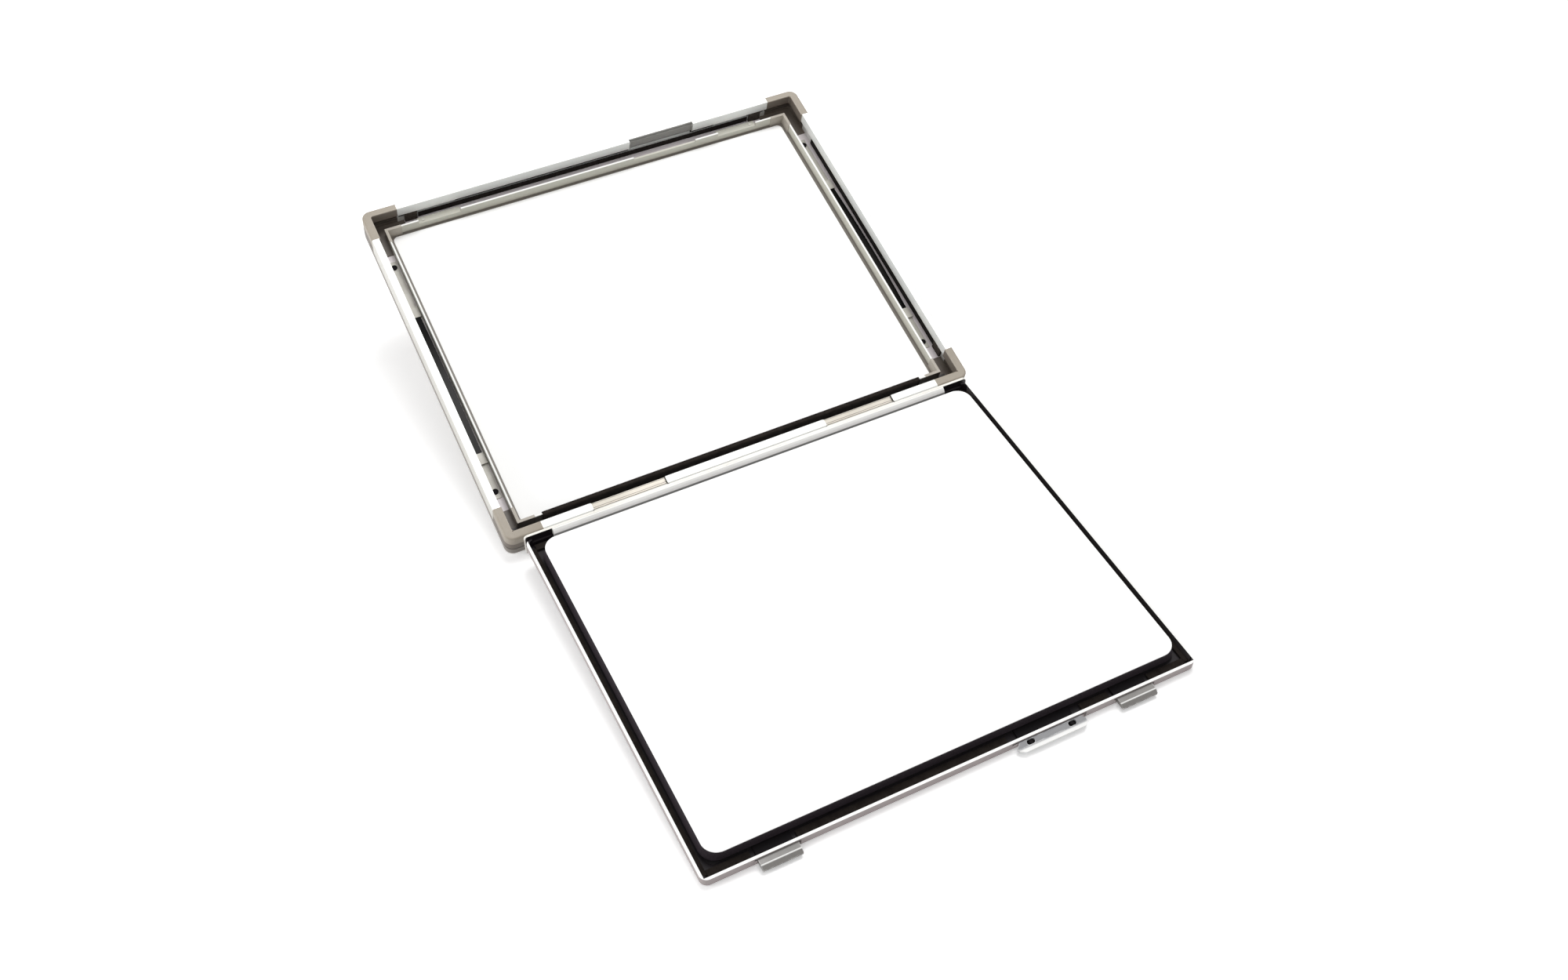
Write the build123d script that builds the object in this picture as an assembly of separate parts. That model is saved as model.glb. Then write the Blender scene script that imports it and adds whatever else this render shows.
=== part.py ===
from build123d import *
import math
import os

# An 8 x 10 inch x-ray film cassette, standing open on a table.
# All pieces are drawn in the closed cassette: X along the hinge, Y from the hinge
# to the latch side, Z from the front panel (0) to the back (body_depth).
# At the end the back is swung open about the hinge pin, and the whole is tilted
# until it stands on the hinge edge of the frame and the free edge of the back.

# ---- frame ----
side_border = 14.0
hinge_border = 14.9
latch_border = 12.3
body_depth = 16.4
corner_radius = 5.0
edge_radius = 1.1
side_lip = 4.3
far_lip = 4.2
hinge_lip = 5.3
lip_height = 6.4
chamber_wall = 1.2
rail_web = 1.3
tongue_thick = 1.2
tongue_overlap = 1.5
corner_leg = 20.7
corner_lip_step = 0.6
spigot_length = 8.0
foot_leg = 24.5
foot_height = 1.4
slide_fit = 0.05
free_gap = 0.3

# ---- front panel ----
panel_thick = 1.4
skirt_height = 4.4
skirt_thick = 1.2
skirt_groove = 0.4

# ---- film well ----
screen_width = 254.0
screen_length = 203.2
screen_thick = 0.5
screen_radius = 8.0
front_screen_radius = 3.0
well_side_margin = 2.25
well_end_margin = 1.6
rim_thick = 1.2
rim_height = 7.1
rim_round = 0.5
rim_corner_leg = 10.0
rim_corner_thick = 1.6
liner_thick = 0.9

# ---- latch strikes in the far rim ----
strike_inward = 12.3
strike_outward = 13.7
strike_drop = 2.5
strike_depth = 4.1
strike_thick = 1.0
strike_rivet_inset = 3.2
rivet_radius = 1.1
strike_rivet_radius = 0.9
rivet_head_radius = 1.7
rivet_head = 0.5

# ---- kick-up leaf springs ----
spring_width = 4.0
spring_shorter = 63.0
spring_offset = 6.5
spring_thick = 0.45
spring_rise = 2.4
carrier_width = 4.6
carrier_thick = 0.5
carrier_start = 33.0
carrier_end_gap = 29.4
carrier_rivet_inset = 4.25
clip_length = 7.0
clip_thick = 0.4

# ---- light seals ----
felt_thick = 0.8
plug_length = 8.0

# ---- finger notch ----
notch_center = 47.8
notch_width = 42.5
notch_depth = 2.0
insert_wall = 0.8
insert_step = 1.6
insert_ledge = 1.0

# ---- hinge ----
open_angle = 165.7
pin_out = 0.6
pin_drop = 2.5
pin_radius = 1.0
pin_fit = 0.03
knuckle_radius = 2.1
knuckle_gap = 0.25
recess_inner = 48.5
recess_outer = 91.7
recess_drop = 1.7
leaf_thick = 1.4
leaf_wall = 1.6
leaf_lip = 2.0
stop_gap = 0.05
hinge_gap = 0.38
hinge_relief = 0.8
hinge_rivet_count = 6
hinge_rivet_inset = 18.6
hinge_rivet_radius = 0.9
hinge_rivet_head_radius = 1.3

# ---- back (lid) ----
back_side_gap = 7.4
back_end_gap = 4.72
back_drop = 10.35
back_height = 6.0
back_wall = 1.45
back_sheet = 1.2
back_radius = 4.0
back_edge_radius = 1.5
hinge_flange = 1.2
hinge_flange_height = 4.0
rim_bridge = 1.0

# ---- pad stack in the back ----
foil_thick = 0.2
plate_thick = 1.2
plate_margin = 1.0
post_radius = 4.0
post_inset = 17.0
post_bar_gap = 20.0
pad_rise = 3.35
pad_slope = 1.5
pad_end_slope = 0.5
pad_start = 8.7
border_thick = 1.5
border_gap = 0.8

# ---- latch ----
latch_travel = 5.8
bar_thick = 1.0
bar_width = 10.0
bar_inset = 24.0
bar_overhang = 11.7
arm_rise = 0.4
lug_width = 20.4
lug_inset = 44.7
lug_tip = 5.6
lug_top = 1.2
lug_bottom = 3.6
lug_chamfer = 2.2
lug_root = 1.0
tab_width = 38.8
tab_tip = 5.8
tab_thick = 0.95
tab_seat = 2.95
tab_root = 1.5
tab_relief_drop = 1.4
tab_slot_pitch = 23.2
tab_slot_length = 4.4
tab_slot_width = 2.3
stud_radius = 0.95
window_margin = 1.4
guide_radius = 1.6
guide_inset = 26.3

# ---- places that several pieces share ----
body_width = screen_width + 2 * side_border
body_length = hinge_border + screen_length + latch_border
half_width = body_width / 2
rail_seat = skirt_height + skirt_groove
lip_bottom = body_depth - lip_height
well_half = screen_width / 2 + well_side_margin
well_start = hinge_border - well_end_margin
well_end = well_start + screen_length + 2 * well_end_margin
rim_top = panel_thick + rim_height
floor_top = panel_thick + liner_thick
channel_outer = half_width - rail_web - tongue_thick
channel_middle = (well_half + rim_thick + half_width - side_lip) / 2 - 0.2
pin_y = -pin_out
pin_z = body_depth - pin_drop
back_start = hinge_lip + hinge_gap
back_end = body_length - back_end_gap
back_width = body_width - 2 * back_side_gap
carrier_span = body_length - carrier_start - carrier_end_gap
carrier_middle = carrier_start + carrier_span / 2
carrier_rivet_span = carrier_span - 2 * carrier_rivet_inset
spring_span = carrier_span - spring_shorter
spring_middle = carrier_middle - spring_offset
lug_center = half_width - lug_inset
strike_start = lug_center - strike_inward
strike_end = lug_center + strike_outward
bar_half = lug_center + bar_overhang
bar_start = back_end - bar_inset
guide_offset = lug_center - guide_inset
back_rim = body_depth - back_drop
back_top = back_rim + back_height
pan_floor = back_top - back_sheet
flange_face = back_start + leaf_wall + hinge_flange
window_low = back_rim + lug_top - 0.4
window_high = back_rim + lug_bottom + 0.35


def block(x0, x1, y0, y1, z0, z1):
    """A box between two corners."""
    size = Box(abs(x1 - x0), abs(y1 - y0), abs(z1 - z0))
    return Pos((x0 + x1) / 2, (y0 + y1) / 2, (z0 + z1) / 2) * size


def disc(x, y, z0, z1, radius):
    """An upright cylinder."""
    return Pos(x, y, (z0 + z1) / 2) * Cylinder(radius, abs(z1 - z0))


def rod(x0, x1, y, z, radius):
    """A cylinder along the hinge."""
    return Pos((x0 + x1) / 2, y, z) * Rot(0, 90, 0) * Cylinder(radius, abs(x1 - x0))


def along_x(points, x0, x1):
    """A profile in Y and Z, drawn out along X."""
    face = make_face(Polyline(*points, close=True))
    return extrude(Plane.YZ.offset(x0) * face, amount=x1 - x0)


def plate(x_half, y0, y1, z0, z1, radius):
    """A flat plate with rounded corners, centred on X."""
    outline = RectangleRounded(2 * x_half, y1 - y0, radius)
    return extrude(Pos(0, (y0 + y1) / 2, z0) * outline, amount=z1 - z0)


def mirror_x(shape):
    return mirror(shape, about=Plane.YZ)


def group(shapes):
    """Separate like solids that share one node."""
    solids = []
    for shape in shapes:
        solids.extend(shape.solids())
    return Compound(children=solids)


# ---------------------------------------------------------------- frame rails

def rail_section(lip, hollow=True):
    """Section of a frame rail: u from the outer face inwards, v along Z."""
    top = body_depth
    tongue_top = rail_seat + tongue_overlap
    outline = Polyline(
        (0, rail_seat), (rail_web, rail_seat), (rail_web, panel_thick),
        (rail_web + tongue_thick, panel_thick), (rail_web + tongue_thick, tongue_top),
        (rail_web, tongue_top), (rail_web, lip_bottom), (lip, lip_bottom),
        (lip, top), (0, top), close=True)
    face = make_face(outline)
    outer_edge = face.vertices().sort_by_distance((0, top, 0))[0]
    face = fillet(outer_edge, edge_radius)
    if hollow:
        width = lip - 2 * chamber_wall
        height = lip_height - 2 * chamber_wall
        chamber = Pos(lip / 2, body_depth - lip_height / 2) * Rectangle(width, height)
        face = face - chamber
    return face


def rail_side():
    """The right-hand rail; the left one is its mirror image."""
    plane = Plane(origin=(half_width, corner_leg, 0), x_dir=(-1, 0, 0), z_dir=(0, 1, 0))
    return extrude(plane * rail_section(side_lip), amount=body_length - 2 * corner_leg)


def rail_far():
    """The latch-side rail: finger notch in its lip, three windows for the latch."""
    reach = half_width - corner_leg
    plane = Plane(origin=(reach, body_length, 0), x_dir=(0, -1, 0), z_dir=(-1, 0, 0))
    rail = extrude(plane * rail_section(far_lip), amount=2 * reach)
    lip_edge = body_length - far_lip
    rail -= block(notch_center - notch_width / 2, notch_center + notch_width / 2,
                  lip_edge - 1, lip_edge + notch_depth, lip_bottom - 1, body_depth + 1)
    for center, width in latch_windows():
        rail -= block(center - width / 2, center + width / 2,
                      body_length - rail_web - 1, body_length + 1, window_low, window_high)
    return rail


def latch_windows():
    """Centre and width of each window that a latch piece reaches through."""
    lug_window = lug_width + 2 * window_margin
    tab_window = tab_width + 2 * window_margin
    return [(-lug_center, lug_window), (lug_center, lug_window), (notch_center, tab_window)]


def rail_hinge():
    """The hinge-side rail with its three barrels and two recesses for the back."""
    reach = half_width - corner_leg
    plane = Plane(origin=(-reach, 0, 0), x_dir=(0, 1, 0), z_dir=(1, 0, 0))
    rail = extrude(plane * rail_section(hinge_lip, hollow=False), amount=2 * reach)
    for x0, x1 in ((-reach, -recess_outer), (-recess_inner, recess_inner), (recess_outer, reach)):
        rail += rod(x0, x1, pin_y, pin_z, knuckle_radius)
    for side in (-1, 1):
        x0, x1 = side * recess_inner, side * recess_outer
        rail -= block(x0, x1, -10, hinge_lip + 1, body_depth - recess_drop, body_depth + 1)
        rail -= rod(x0, x1, pin_y, pin_z, knuckle_radius + knuckle_gap)
    rail -= hinge_edge_relief(reach)
    return rail - rod(-reach - 1, reach + 1, pin_y, pin_z, pin_radius + pin_fit)


def hinge_edge_relief(reach):
    """Bevel on the frame's inner hinge edge, so that the back's hinge wall swings past it."""
    over = 0.1
    points = [(hinge_lip - hinge_relief, body_depth), (hinge_lip - hinge_relief, body_depth + over),
              (hinge_lip + over, body_depth + over), (hinge_lip + over, body_depth - hinge_relief),
              (hinge_lip, body_depth - hinge_relief)]
    return along_x(points, -reach, reach)


def hinge_pin():
    reach = half_width - corner_leg - 0.2
    return rod(-reach, reach, pin_y, pin_z, pin_radius)


# ---------------------------------------------------------------- frame corners

def ring(inset_outer, inset_inner, z0, z1):
    """An upright wall that runs round the frame between two insets."""
    outer = RectangleRounded(body_width - 2 * inset_outer, body_length - 2 * inset_outer,
                             corner_radius - inset_outer)
    inner_radius = max(corner_radius - inset_inner, 0.5)
    inner = RectangleRounded(body_width - 2 * inset_inner, body_length - 2 * inset_inner,
                             inner_radius)
    return extrude(Pos(0, body_length / 2, z0) * (outer - inner), amount=z1 - z0)


def corner_stock():
    """The frame's section taken once round all four corners."""
    slab = plate(half_width, 0, body_length, lip_bottom, body_depth, corner_radius)
    slab = fillet(slab.faces().sort_by(Axis.Z)[-1].edges(), edge_radius)
    opening_half = half_width - side_lip - corner_lip_step
    slab -= plate(opening_half, hinge_lip, body_length - far_lip,
                  lip_bottom - 1, body_depth + 1, 1.2)
    slab += ring(0, rail_web, rail_seat, lip_bottom)
    tongue = ring(rail_web, rail_web + tongue_thick, panel_thick, rail_seat + tongue_overlap)
    return slab + tongue


def frame_corner(stock, side, far):
    """One moulded corner: L-shaped body, foot in the channel, spigots in the rails."""
    x0, x1 = sorted((side * (half_width - corner_leg), side * (half_width + 1)))
    y0, y1 = (body_length - corner_leg, body_length + 1) if far else (-1, corner_leg)
    corner = stock & block(x0, x1, y0, y1, 0, body_depth + 1)
    foot_top = panel_thick + foot_height
    x_in = side * (well_half + rim_thick + slide_fit)
    x_out = side * channel_outer
    x_end = side * (half_width - foot_leg)
    if far:
        y_out = body_length - rail_web - tongue_thick
        y_in = well_end + rim_thick + slide_fit
        y_end = body_length - foot_leg
    else:
        y_out = rail_web + tongue_thick
        y_in = hinge_lip
        y_end = foot_leg
    corner += block(x_in, x_out, y_end, y_out, panel_thick, foot_top)
    corner += block(x_end, x_out, y_in, y_out, panel_thick, foot_top)
    corner += side_spigot(side, far)
    if far:
        return corner + far_spigot(side)
    return corner - hinge_edge_relief(half_width - side_lip - corner_lip_step)


def side_spigot(side, far):
    """Plug that holds a side rail."""
    width = side_lip - 2 * chamber_wall - 2 * slide_fit
    height = lip_height - 2 * chamber_wall - 2 * slide_fit
    y = body_length - corner_leg if far else corner_leg
    y_shift = -spigot_length / 2 if far else spigot_length / 2
    place = Pos(side * (half_width - side_lip / 2), y + y_shift, body_depth - lip_height / 2)
    return place * Box(width, spigot_length, height)


def far_spigot(side):
    """Plug that holds the latch-side rail."""
    width = far_lip - 2 * chamber_wall - 2 * slide_fit
    height = lip_height - 2 * chamber_wall - 2 * slide_fit
    x = side * (half_width - corner_leg - spigot_length / 2)
    place = Pos(x, body_length - far_lip / 2, body_depth - lip_height / 2)
    return place * Box(spigot_length, width, height)


# ---------------------------------------------------------------- front panel and film well

def front_panel():
    """Shallow tray that closes the tube side, with its skirt turned up round the edge."""
    tray = plate(half_width, 0, body_length, 0, skirt_height, corner_radius)
    inside = plate(half_width - skirt_thick, skirt_thick, body_length - skirt_thick,
                   panel_thick, skirt_height + 1, corner_radius - skirt_thick)
    return tray - inside


def rim_bar(x0, x1, y0, y1):
    """A straight stretch of the thin rim round the film well."""
    bar = block(x0, x1, y0, y1, panel_thick, rim_top)
    long_axis = Axis.Y if abs(y1 - y0) > abs(x1 - x0) else Axis.X
    top_edges = bar.faces().sort_by(Axis.Z)[-1].edges().filter_by(long_axis)
    return fillet(top_edges, rim_round)


def rim_side():
    start = well_start - rim_thick + rim_corner_leg
    end = well_end + rim_thick - rim_corner_leg
    return rim_bar(well_half, well_half + rim_thick, start, end)


def rim_hinge():
    reach = well_half + rim_thick - rim_corner_leg
    return rim_bar(-reach, reach, well_start - rim_thick, well_start)


def rim_far():
    """The latch-side rim, stepped down to a riveted strike plate under each bolt."""
    reach = well_half + rim_thick - rim_corner_leg
    rim = rim_bar(-reach, reach, well_end, well_end + rim_thick)
    strike_top = rim_top - strike_drop
    for side in (-1, 1):
        x0, x1 = side * strike_start, side * strike_end
        rim -= block(x0, x1, well_end - 1, well_end + rim_thick + 1, strike_top, rim_top + 1)
        outer = well_end + strike_depth
        rim += block(x0, x1, well_end, outer, strike_top - strike_thick, strike_top)
        rim += block(x0, x1, outer - strike_thick, outer, floor_top, strike_top)
        x, y = strike_rivet(side)
        rim -= disc(x, y, strike_top - 2 * strike_thick, strike_top + 1,
                    strike_rivet_radius + slide_fit)
    half = tab_width / 2 + window_margin
    rim -= block(notch_center - half, notch_center + half, well_end - 1, well_end + rim_thick + 1,
                 rim_top - tab_relief_drop, rim_top + 1)
    return rim


def strike_rivet(side):
    x = side * (strike_end - strike_rivet_inset)
    y = well_end + (rim_thick + strike_depth - strike_thick) / 2
    return x, y


def rim_rivets():
    """Rivets through the two strike plates."""
    strike_top = rim_top - strike_drop
    rivets = []
    for side in (-1, 1):
        x, y = strike_rivet(side)
        rivets.append(disc(x, y, floor_top, strike_top + 0.3, strike_rivet_radius))
    return group(rivets)


def rim_corners():
    """Moulded corner angles that join the four rim bars."""
    corners = []
    for side in (-1, 1):
        for far in (False, True):
            x_out = side * (well_half + rim_thick)
            x_in = side * (well_half + rim_thick - rim_corner_thick)
            x_end = side * (well_half + rim_thick - rim_corner_leg)
            y_out = well_end + rim_thick if far else well_start - rim_thick
            step = -1 if far else 1
            y_in = y_out + step * rim_corner_thick
            y_end = y_out + step * rim_corner_leg
            angle = block(x_in, x_out, y_out, y_end, panel_thick, rim_top)
            angle += block(x_end, x_out, y_out, y_in, panel_thick, rim_top)
            corners.append(angle)
    return group(corners)


def channel_liners():
    """Plastic strips that line the channel floor on three sides."""
    x_in = well_half + rim_thick + slide_fit
    right = block(x_in, channel_outer - slide_fit, foot_leg + slide_fit,
                  body_length - foot_leg - slide_fit, panel_thick, floor_top)
    reach = half_width - foot_leg - slide_fit
    far = block(-reach, reach, well_end + rim_thick + slide_fit,
                body_length - rail_web - tongue_thick - slide_fit, panel_thick, floor_top)
    return group([right, mirror_x(right), far])


def front_screen():
    """Intensifying screen on the inside of the front panel."""
    middle = (well_start + well_end) / 2
    return plate(screen_width / 2, middle - screen_length / 2, middle + screen_length / 2,
                 panel_thick, panel_thick + screen_thick, front_screen_radius)


# ---------------------------------------------------------------- kick-up springs

def spring_carrier():
    """Strip that carries one leaf spring, riveted through the channel floor."""
    strip = block(channel_middle - carrier_width / 2, channel_middle + carrier_width / 2,
                  carrier_middle - carrier_span / 2, carrier_middle + carrier_span / 2,
                  floor_top, floor_top + carrier_thick)
    for y in carrier_rivet_places():
        strip -= disc(channel_middle, y, floor_top - 1, floor_top + 2, rivet_radius + slide_fit)
    return strip


def carrier_rivet_places():
    half = carrier_rivet_span / 2
    return [carrier_middle - half, carrier_middle + half]


def spring_rivets():
    """Domed rivets at the ends of both carriers."""
    rivets = []
    for y in carrier_rivet_places():
        top = floor_top + carrier_thick
        rivet = disc(channel_middle, y, floor_top, top, rivet_radius)
        rivet += disc(channel_middle, y, top, top + rivet_head, rivet_head_radius)
        rivets += [rivet, mirror_x(rivet)]
    return group(rivets)


def kick_spring():
    """Bowed leaf: an arc between two ends that lie on the carrier."""
    seat = floor_top + carrier_thick
    y0 = spring_middle - spring_span / 2
    y1 = spring_middle + spring_span / 2
    low = ThreePointArc((y0, seat), (spring_middle, seat + spring_rise), (y1, seat))
    high = ThreePointArc((y1, seat + spring_thick), (spring_middle, seat + spring_rise + spring_thick),
                         (y0, seat + spring_thick))
    ends = Line((y1, seat), (y1, seat + spring_thick)) + Line((y0, seat + spring_thick), (y0, seat))
    face = make_face(low + high + ends)
    return extrude(Plane.YZ.offset(channel_middle - spring_width / 2) * face, amount=spring_width)


def spring_clips():
    """Folded straps that keep the spring ends down on their carriers."""
    seat = floor_top + carrier_thick
    clips = []
    for direction in (-1, 1):
        end = spring_middle + direction * spring_span / 2
        y0, y1 = sorted((end - direction * 0.6 * clip_length, end + direction * 0.4 * clip_length))
        inner_top = seat + spring_thick + 0.45
        x0 = channel_middle - carrier_width / 2
        x1 = channel_middle + carrier_width / 2
        strap = block(x0 - clip_thick, x1 + clip_thick, y0, y1, floor_top, inner_top + clip_thick)
        strap -= block(x0, x1, y0 - 1, y1 + 1, floor_top - 1, inner_top)
        clips += [strap, mirror_x(strap)]
    return group(clips)


# ---------------------------------------------------------------- light seals

def hinge_light_seal():
    """Felt angle along the hinge side: channel floor and outer face of the rim."""
    reach = half_width - foot_leg - free_gap
    rim_face = well_start - rim_thick
    low = rail_web + tongue_thick + slide_fit
    high = panel_thick + liner_thick
    points = [(low, panel_thick), (rim_face, panel_thick), (rim_face, rim_top - 0.1),
              (rim_face - felt_thick, rim_top - 0.1), (rim_face - felt_thick, high), (low, high)]
    return along_x(points, -reach, reach)


def rail_felts():
    """Felt strips in the groove under the lip, broken where the latch comes through."""
    z0 = rail_seat + tongue_overlap + slide_fit
    x0 = half_width - rail_web - felt_thick
    side = block(x0, half_width - rail_web, corner_leg + 1, body_length - corner_leg - 1,
                 z0, lip_bottom)
    y0 = body_length - rail_web - felt_thick
    reach = half_width - corner_leg - 1
    far = block(-reach, reach, y0, body_length - rail_web, z0, lip_bottom)
    for center, width in latch_windows():
        far -= block(center - width / 2, center + width / 2, y0 - 1, body_length, 0, body_depth)
    return group([side, mirror_x(side), far])


def groove_plugs():
    """Foam plugs in the groove beside the feet of the corners."""
    far_inner = body_length - far_lip
    x0 = half_width - foot_leg - plug_length
    far = block(x0, x0 + plug_length - free_gap, far_inner,
                body_length - rail_web - tongue_thick, floor_top, lip_bottom)
    y0 = foot_leg + free_gap
    side = block(half_width - side_lip + free_gap, channel_outer, y0, y0 + plug_length,
                 floor_top, lip_bottom)
    return group([far, mirror_x(far), side, mirror_x(side)])


def notch_insert():
    """Moulded lining of the finger notch, with a ledge and two cheeks."""
    lip_edge = body_length - far_lip
    back = lip_edge + notch_depth
    ledge_z = body_depth - insert_step
    x0 = notch_center - notch_width / 2
    x1 = notch_center + notch_width / 2
    points = [(back, lip_bottom), (back, body_depth - 0.2), (back - 0.4, body_depth - 0.2),
              (back - 0.4, ledge_z), (back - insert_ledge, ledge_z), (back - insert_ledge, lip_bottom)]
    insert = along_x(points, x0, x1)
    for start in (x0, x1 - insert_wall):
        insert += block(start, start + insert_wall, lip_edge + slide_fit, back,
                        lip_bottom, ledge_z)
    return insert


# ---------------------------------------------------------------- back

def back_pan():
    """Pressed pan of the back: sheet, three upright walls and a flange at the hinge."""
    half = back_width / 2
    start = back_start + leaf_wall
    pan = plate(half, start, back_end, back_rim, back_top, back_radius)
    outer = pan.faces().sort_by(Axis.Z)[-1].edges()
    pan = fillet(outer.filter_by_position(Axis.Y, start + 0.5, back_end + 1), back_edge_radius)
    inside = plate(half - back_wall, start + hinge_flange, back_end - back_wall,
                   back_rim - 1, pan_floor, back_radius - back_wall)
    pan -= inside
    flange_low = back_top - hinge_flange_height
    pan -= block(-half + back_radius, half - back_radius, start - 1, start + hinge_flange + 0.5,
                 back_rim - 1, flange_low)
    for center, width in latch_windows():
        pan -= block(center - width / 2, center + width / 2, back_end - back_wall - 1,
                     back_end + 1, back_rim + rim_bridge, pan_floor)
    for x in hinge_rivet_places():
        pan -= hinge_rivet_hole(x)
    return pan


def stop_reach(height):
    """How far the leaf's heel stands out from the pin, to meet the frame when open."""
    rest = math.radians(180 - open_angle)
    return (pin_out - stop_gap + math.sin(rest) * height) / math.cos(rest)


def hinge_leaf():
    """Extruded hinge profile of the back, with two barrels and their stop heels."""
    half = back_width / 2 - 0.2
    leaf = block(-half, half, back_start, back_start + leaf_wall, back_rim - leaf_lip, body_depth)
    round_edges = leaf.edges().filter_by(Axis.Y).group_by(Axis.Z)[0]
    leaf = fillet(round_edges, 2.0)
    under = body_depth - leaf_thick
    heel = [(pin_y - stop_reach(pin_drop), body_depth), (back_start + leaf_wall, body_depth),
            (back_start + leaf_wall, under), (pin_y - stop_reach(pin_drop - leaf_thick), under)]
    for side in (-1, 1):
        x0, x1 = sorted((side * (recess_inner + knuckle_gap), side * (recess_outer - knuckle_gap)))
        leaf += along_x(heel, x0, x1)
        leaf += rod(x0, x1, pin_y, pin_z, knuckle_radius)
    leaf -= rod(-half, half, pin_y, pin_z, pin_radius + pin_fit)
    for x in hinge_rivet_places():
        leaf -= hinge_rivet_hole(x)
    return leaf


def hinge_rivet_places():
    pitch = (back_width - 2 * hinge_rivet_inset) / (hinge_rivet_count - 1)
    return [(i - (hinge_rivet_count - 1) / 2) * pitch for i in range(hinge_rivet_count)]


def hinge_rivet_disc(x, y0, y1, radius):
    """A cylinder through the hinge wall, from y0 to y1."""
    z = (back_top - hinge_flange_height + pan_floor) / 2
    return Pos(x, (y0 + y1) / 2, z) * Rot(90, 0, 0) * Cylinder(radius, y1 - y0)


def hinge_rivet_hole(x):
    return hinge_rivet_disc(x, back_start - 1, flange_face + 1, hinge_rivet_radius + slide_fit)


def hinge_rivets():
    """Flush rivets with a low head inside the pan."""
    rivets = []
    for x in hinge_rivet_places():
        rivet = hinge_rivet_disc(x, back_start, flange_face, hinge_rivet_radius)
        rivet += hinge_rivet_disc(x, flange_face, flange_face + rivet_head, hinge_rivet_head_radius)
        rivets.append(rivet)
    return group(rivets)


# ---------------------------------------------------------------- pad stack

bar_back = pan_floor - arm_rise
bar_front = bar_back - bar_thick
plate_back = bar_front - 0.15
plate_front = plate_back - plate_thick
pad_front = back_rim - pad_rise
pad_y0 = back_start + pad_start
pad_y1 = pad_y0 + screen_length


def lead_foil():
    """Thin lead sheet bonded to the inside of the pan."""
    return plate(screen_width / 2, pad_y0, pad_y1, pan_floor - foil_thick, pan_floor, 4)


def pressure_plate():
    """Steel plate that backs the foam pad."""
    half = screen_width / 2 - plate_margin
    return plate(half, pad_y0 + plate_margin, pad_y1 - plate_margin,
                 plate_front, plate_back, screen_radius - plate_margin)


def plate_posts():
    """Spacers that hold the pressure plate off the pan, clear of the latch bar."""
    pitch = (screen_width - 2 * post_inset) / 4
    first = pad_y0 + post_inset
    last = bar_start - latch_travel - post_radius - post_bar_gap
    posts = []
    for column in range(5):
        for y in (first, (first + last) / 2, last):
            x = (column - 2) * pitch
            posts.append(disc(x, y, plate_back, pan_floor - foil_thick, post_radius))
    return group(posts)


def foam_pad():
    """Compression pad, a little wider at its foot than at the screen."""
    half = screen_width / 2
    middle = (pad_y0 + pad_y1) / 2
    foot = RectangleRounded(2 * (half + pad_slope), screen_length + 2 * pad_end_slope,
                            screen_radius + pad_end_slope)
    top = RectangleRounded(2 * half, screen_length, screen_radius)
    return loft([Pos(0, middle, pad_front) * top, Pos(0, middle, plate_front) * foot])


def back_screen():
    """Intensifying screen on the foam pad."""
    return plate(screen_width / 2, pad_y0, pad_y1, pad_front - screen_thick, pad_front,
                 screen_radius)


def border_seal():
    """Felt round the pad, broken where the latch arms run to the free edge."""
    z0 = pan_floor - border_thick
    x_in = screen_width / 2 + pad_slope + border_gap
    x_out = back_width / 2 - back_wall - 0.1
    y_hinge = flange_face + rivet_head + 0.2
    y_wall = back_end - back_wall - 0.1
    y_near = pad_y1 + pad_end_slope + border_gap
    inset = back_radius - back_wall
    side = block(x_in, x_out, y_hinge + inset, y_wall - inset, z0, pan_floor)
    hinge = block(-x_in, x_in, y_hinge, pad_y0 - pad_end_slope - border_gap, z0, pan_floor)
    near = block(-x_in, x_in, y_near, y_wall, z0, pan_floor)
    for center, width in latch_windows():
        near -= block(center - width / 2, center + width / 2, y_near - 1, y_wall + 1, 0, body_depth)
    return group([side, mirror_x(side), hinge, near])


# ---------------------------------------------------------------- latch

def latch_bar():
    """Flat bar that draws both bolts and the finger tab in together."""
    y0 = bar_start
    y1 = y0 + bar_width
    arm_end = back_end - 0.5
    bar = block(-bar_half, bar_half, y0, y1, bar_front, bar_back)
    for center in (-lug_center, lug_center):
        bar += block(center - lug_width / 2 + 1, center + lug_width / 2 - 1, y1 - 1, arm_end,
                     bar_front, bar_back)
    tab_half = tab_width / 2 - 4
    bar += block(notch_center - tab_half, notch_center + tab_half, y1 - 1, arm_end,
                 bar_front, bar_back)
    bar += along_x(carrier_section(), notch_center - tab_half, notch_center + tab_half)
    for side in (-1, 1):
        bar -= guide_slot(side * guide_offset)
    return bar


def carrier_section():
    """Joggled end of the tab's arm, sloped at the front to follow the tab."""
    low = bar_front
    seat = back_rim + tab_seat
    inner = back_end - tab_root - 0.3
    return [(inner, low), (inner, seat), (back_end + 1.9, seat),
            (back_end + 2.9, seat + 0.5), (back_end + 2.9, seat + 0.65), (back_end, seat + 0.65),
            (back_end, low)]


def guide_place():
    """Where a guide pin stands in its slot while the latch is out."""
    return bar_start + guide_radius + 3.0


def guide_slot(x):
    """Slot that lets the bar travel past a guide pin."""
    y0 = guide_place() - guide_radius - free_gap
    y1 = guide_place() + guide_radius + latch_travel + free_gap
    half = guide_radius + 0.1
    slot = block(x - half, x + half, y0 + half, y1 - half, bar_front - 1, bar_back + 1)
    slot += disc(x, y0 + half, bar_front - 1, bar_back + 1, half)
    return slot + disc(x, y1 - half, bar_front - 1, bar_back + 1, half)


def guide_pins():
    places = (-guide_offset, guide_offset)
    return group([disc(x, guide_place(), plate_back, pan_floor - foil_thick, guide_radius)
                  for x in places])


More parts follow.
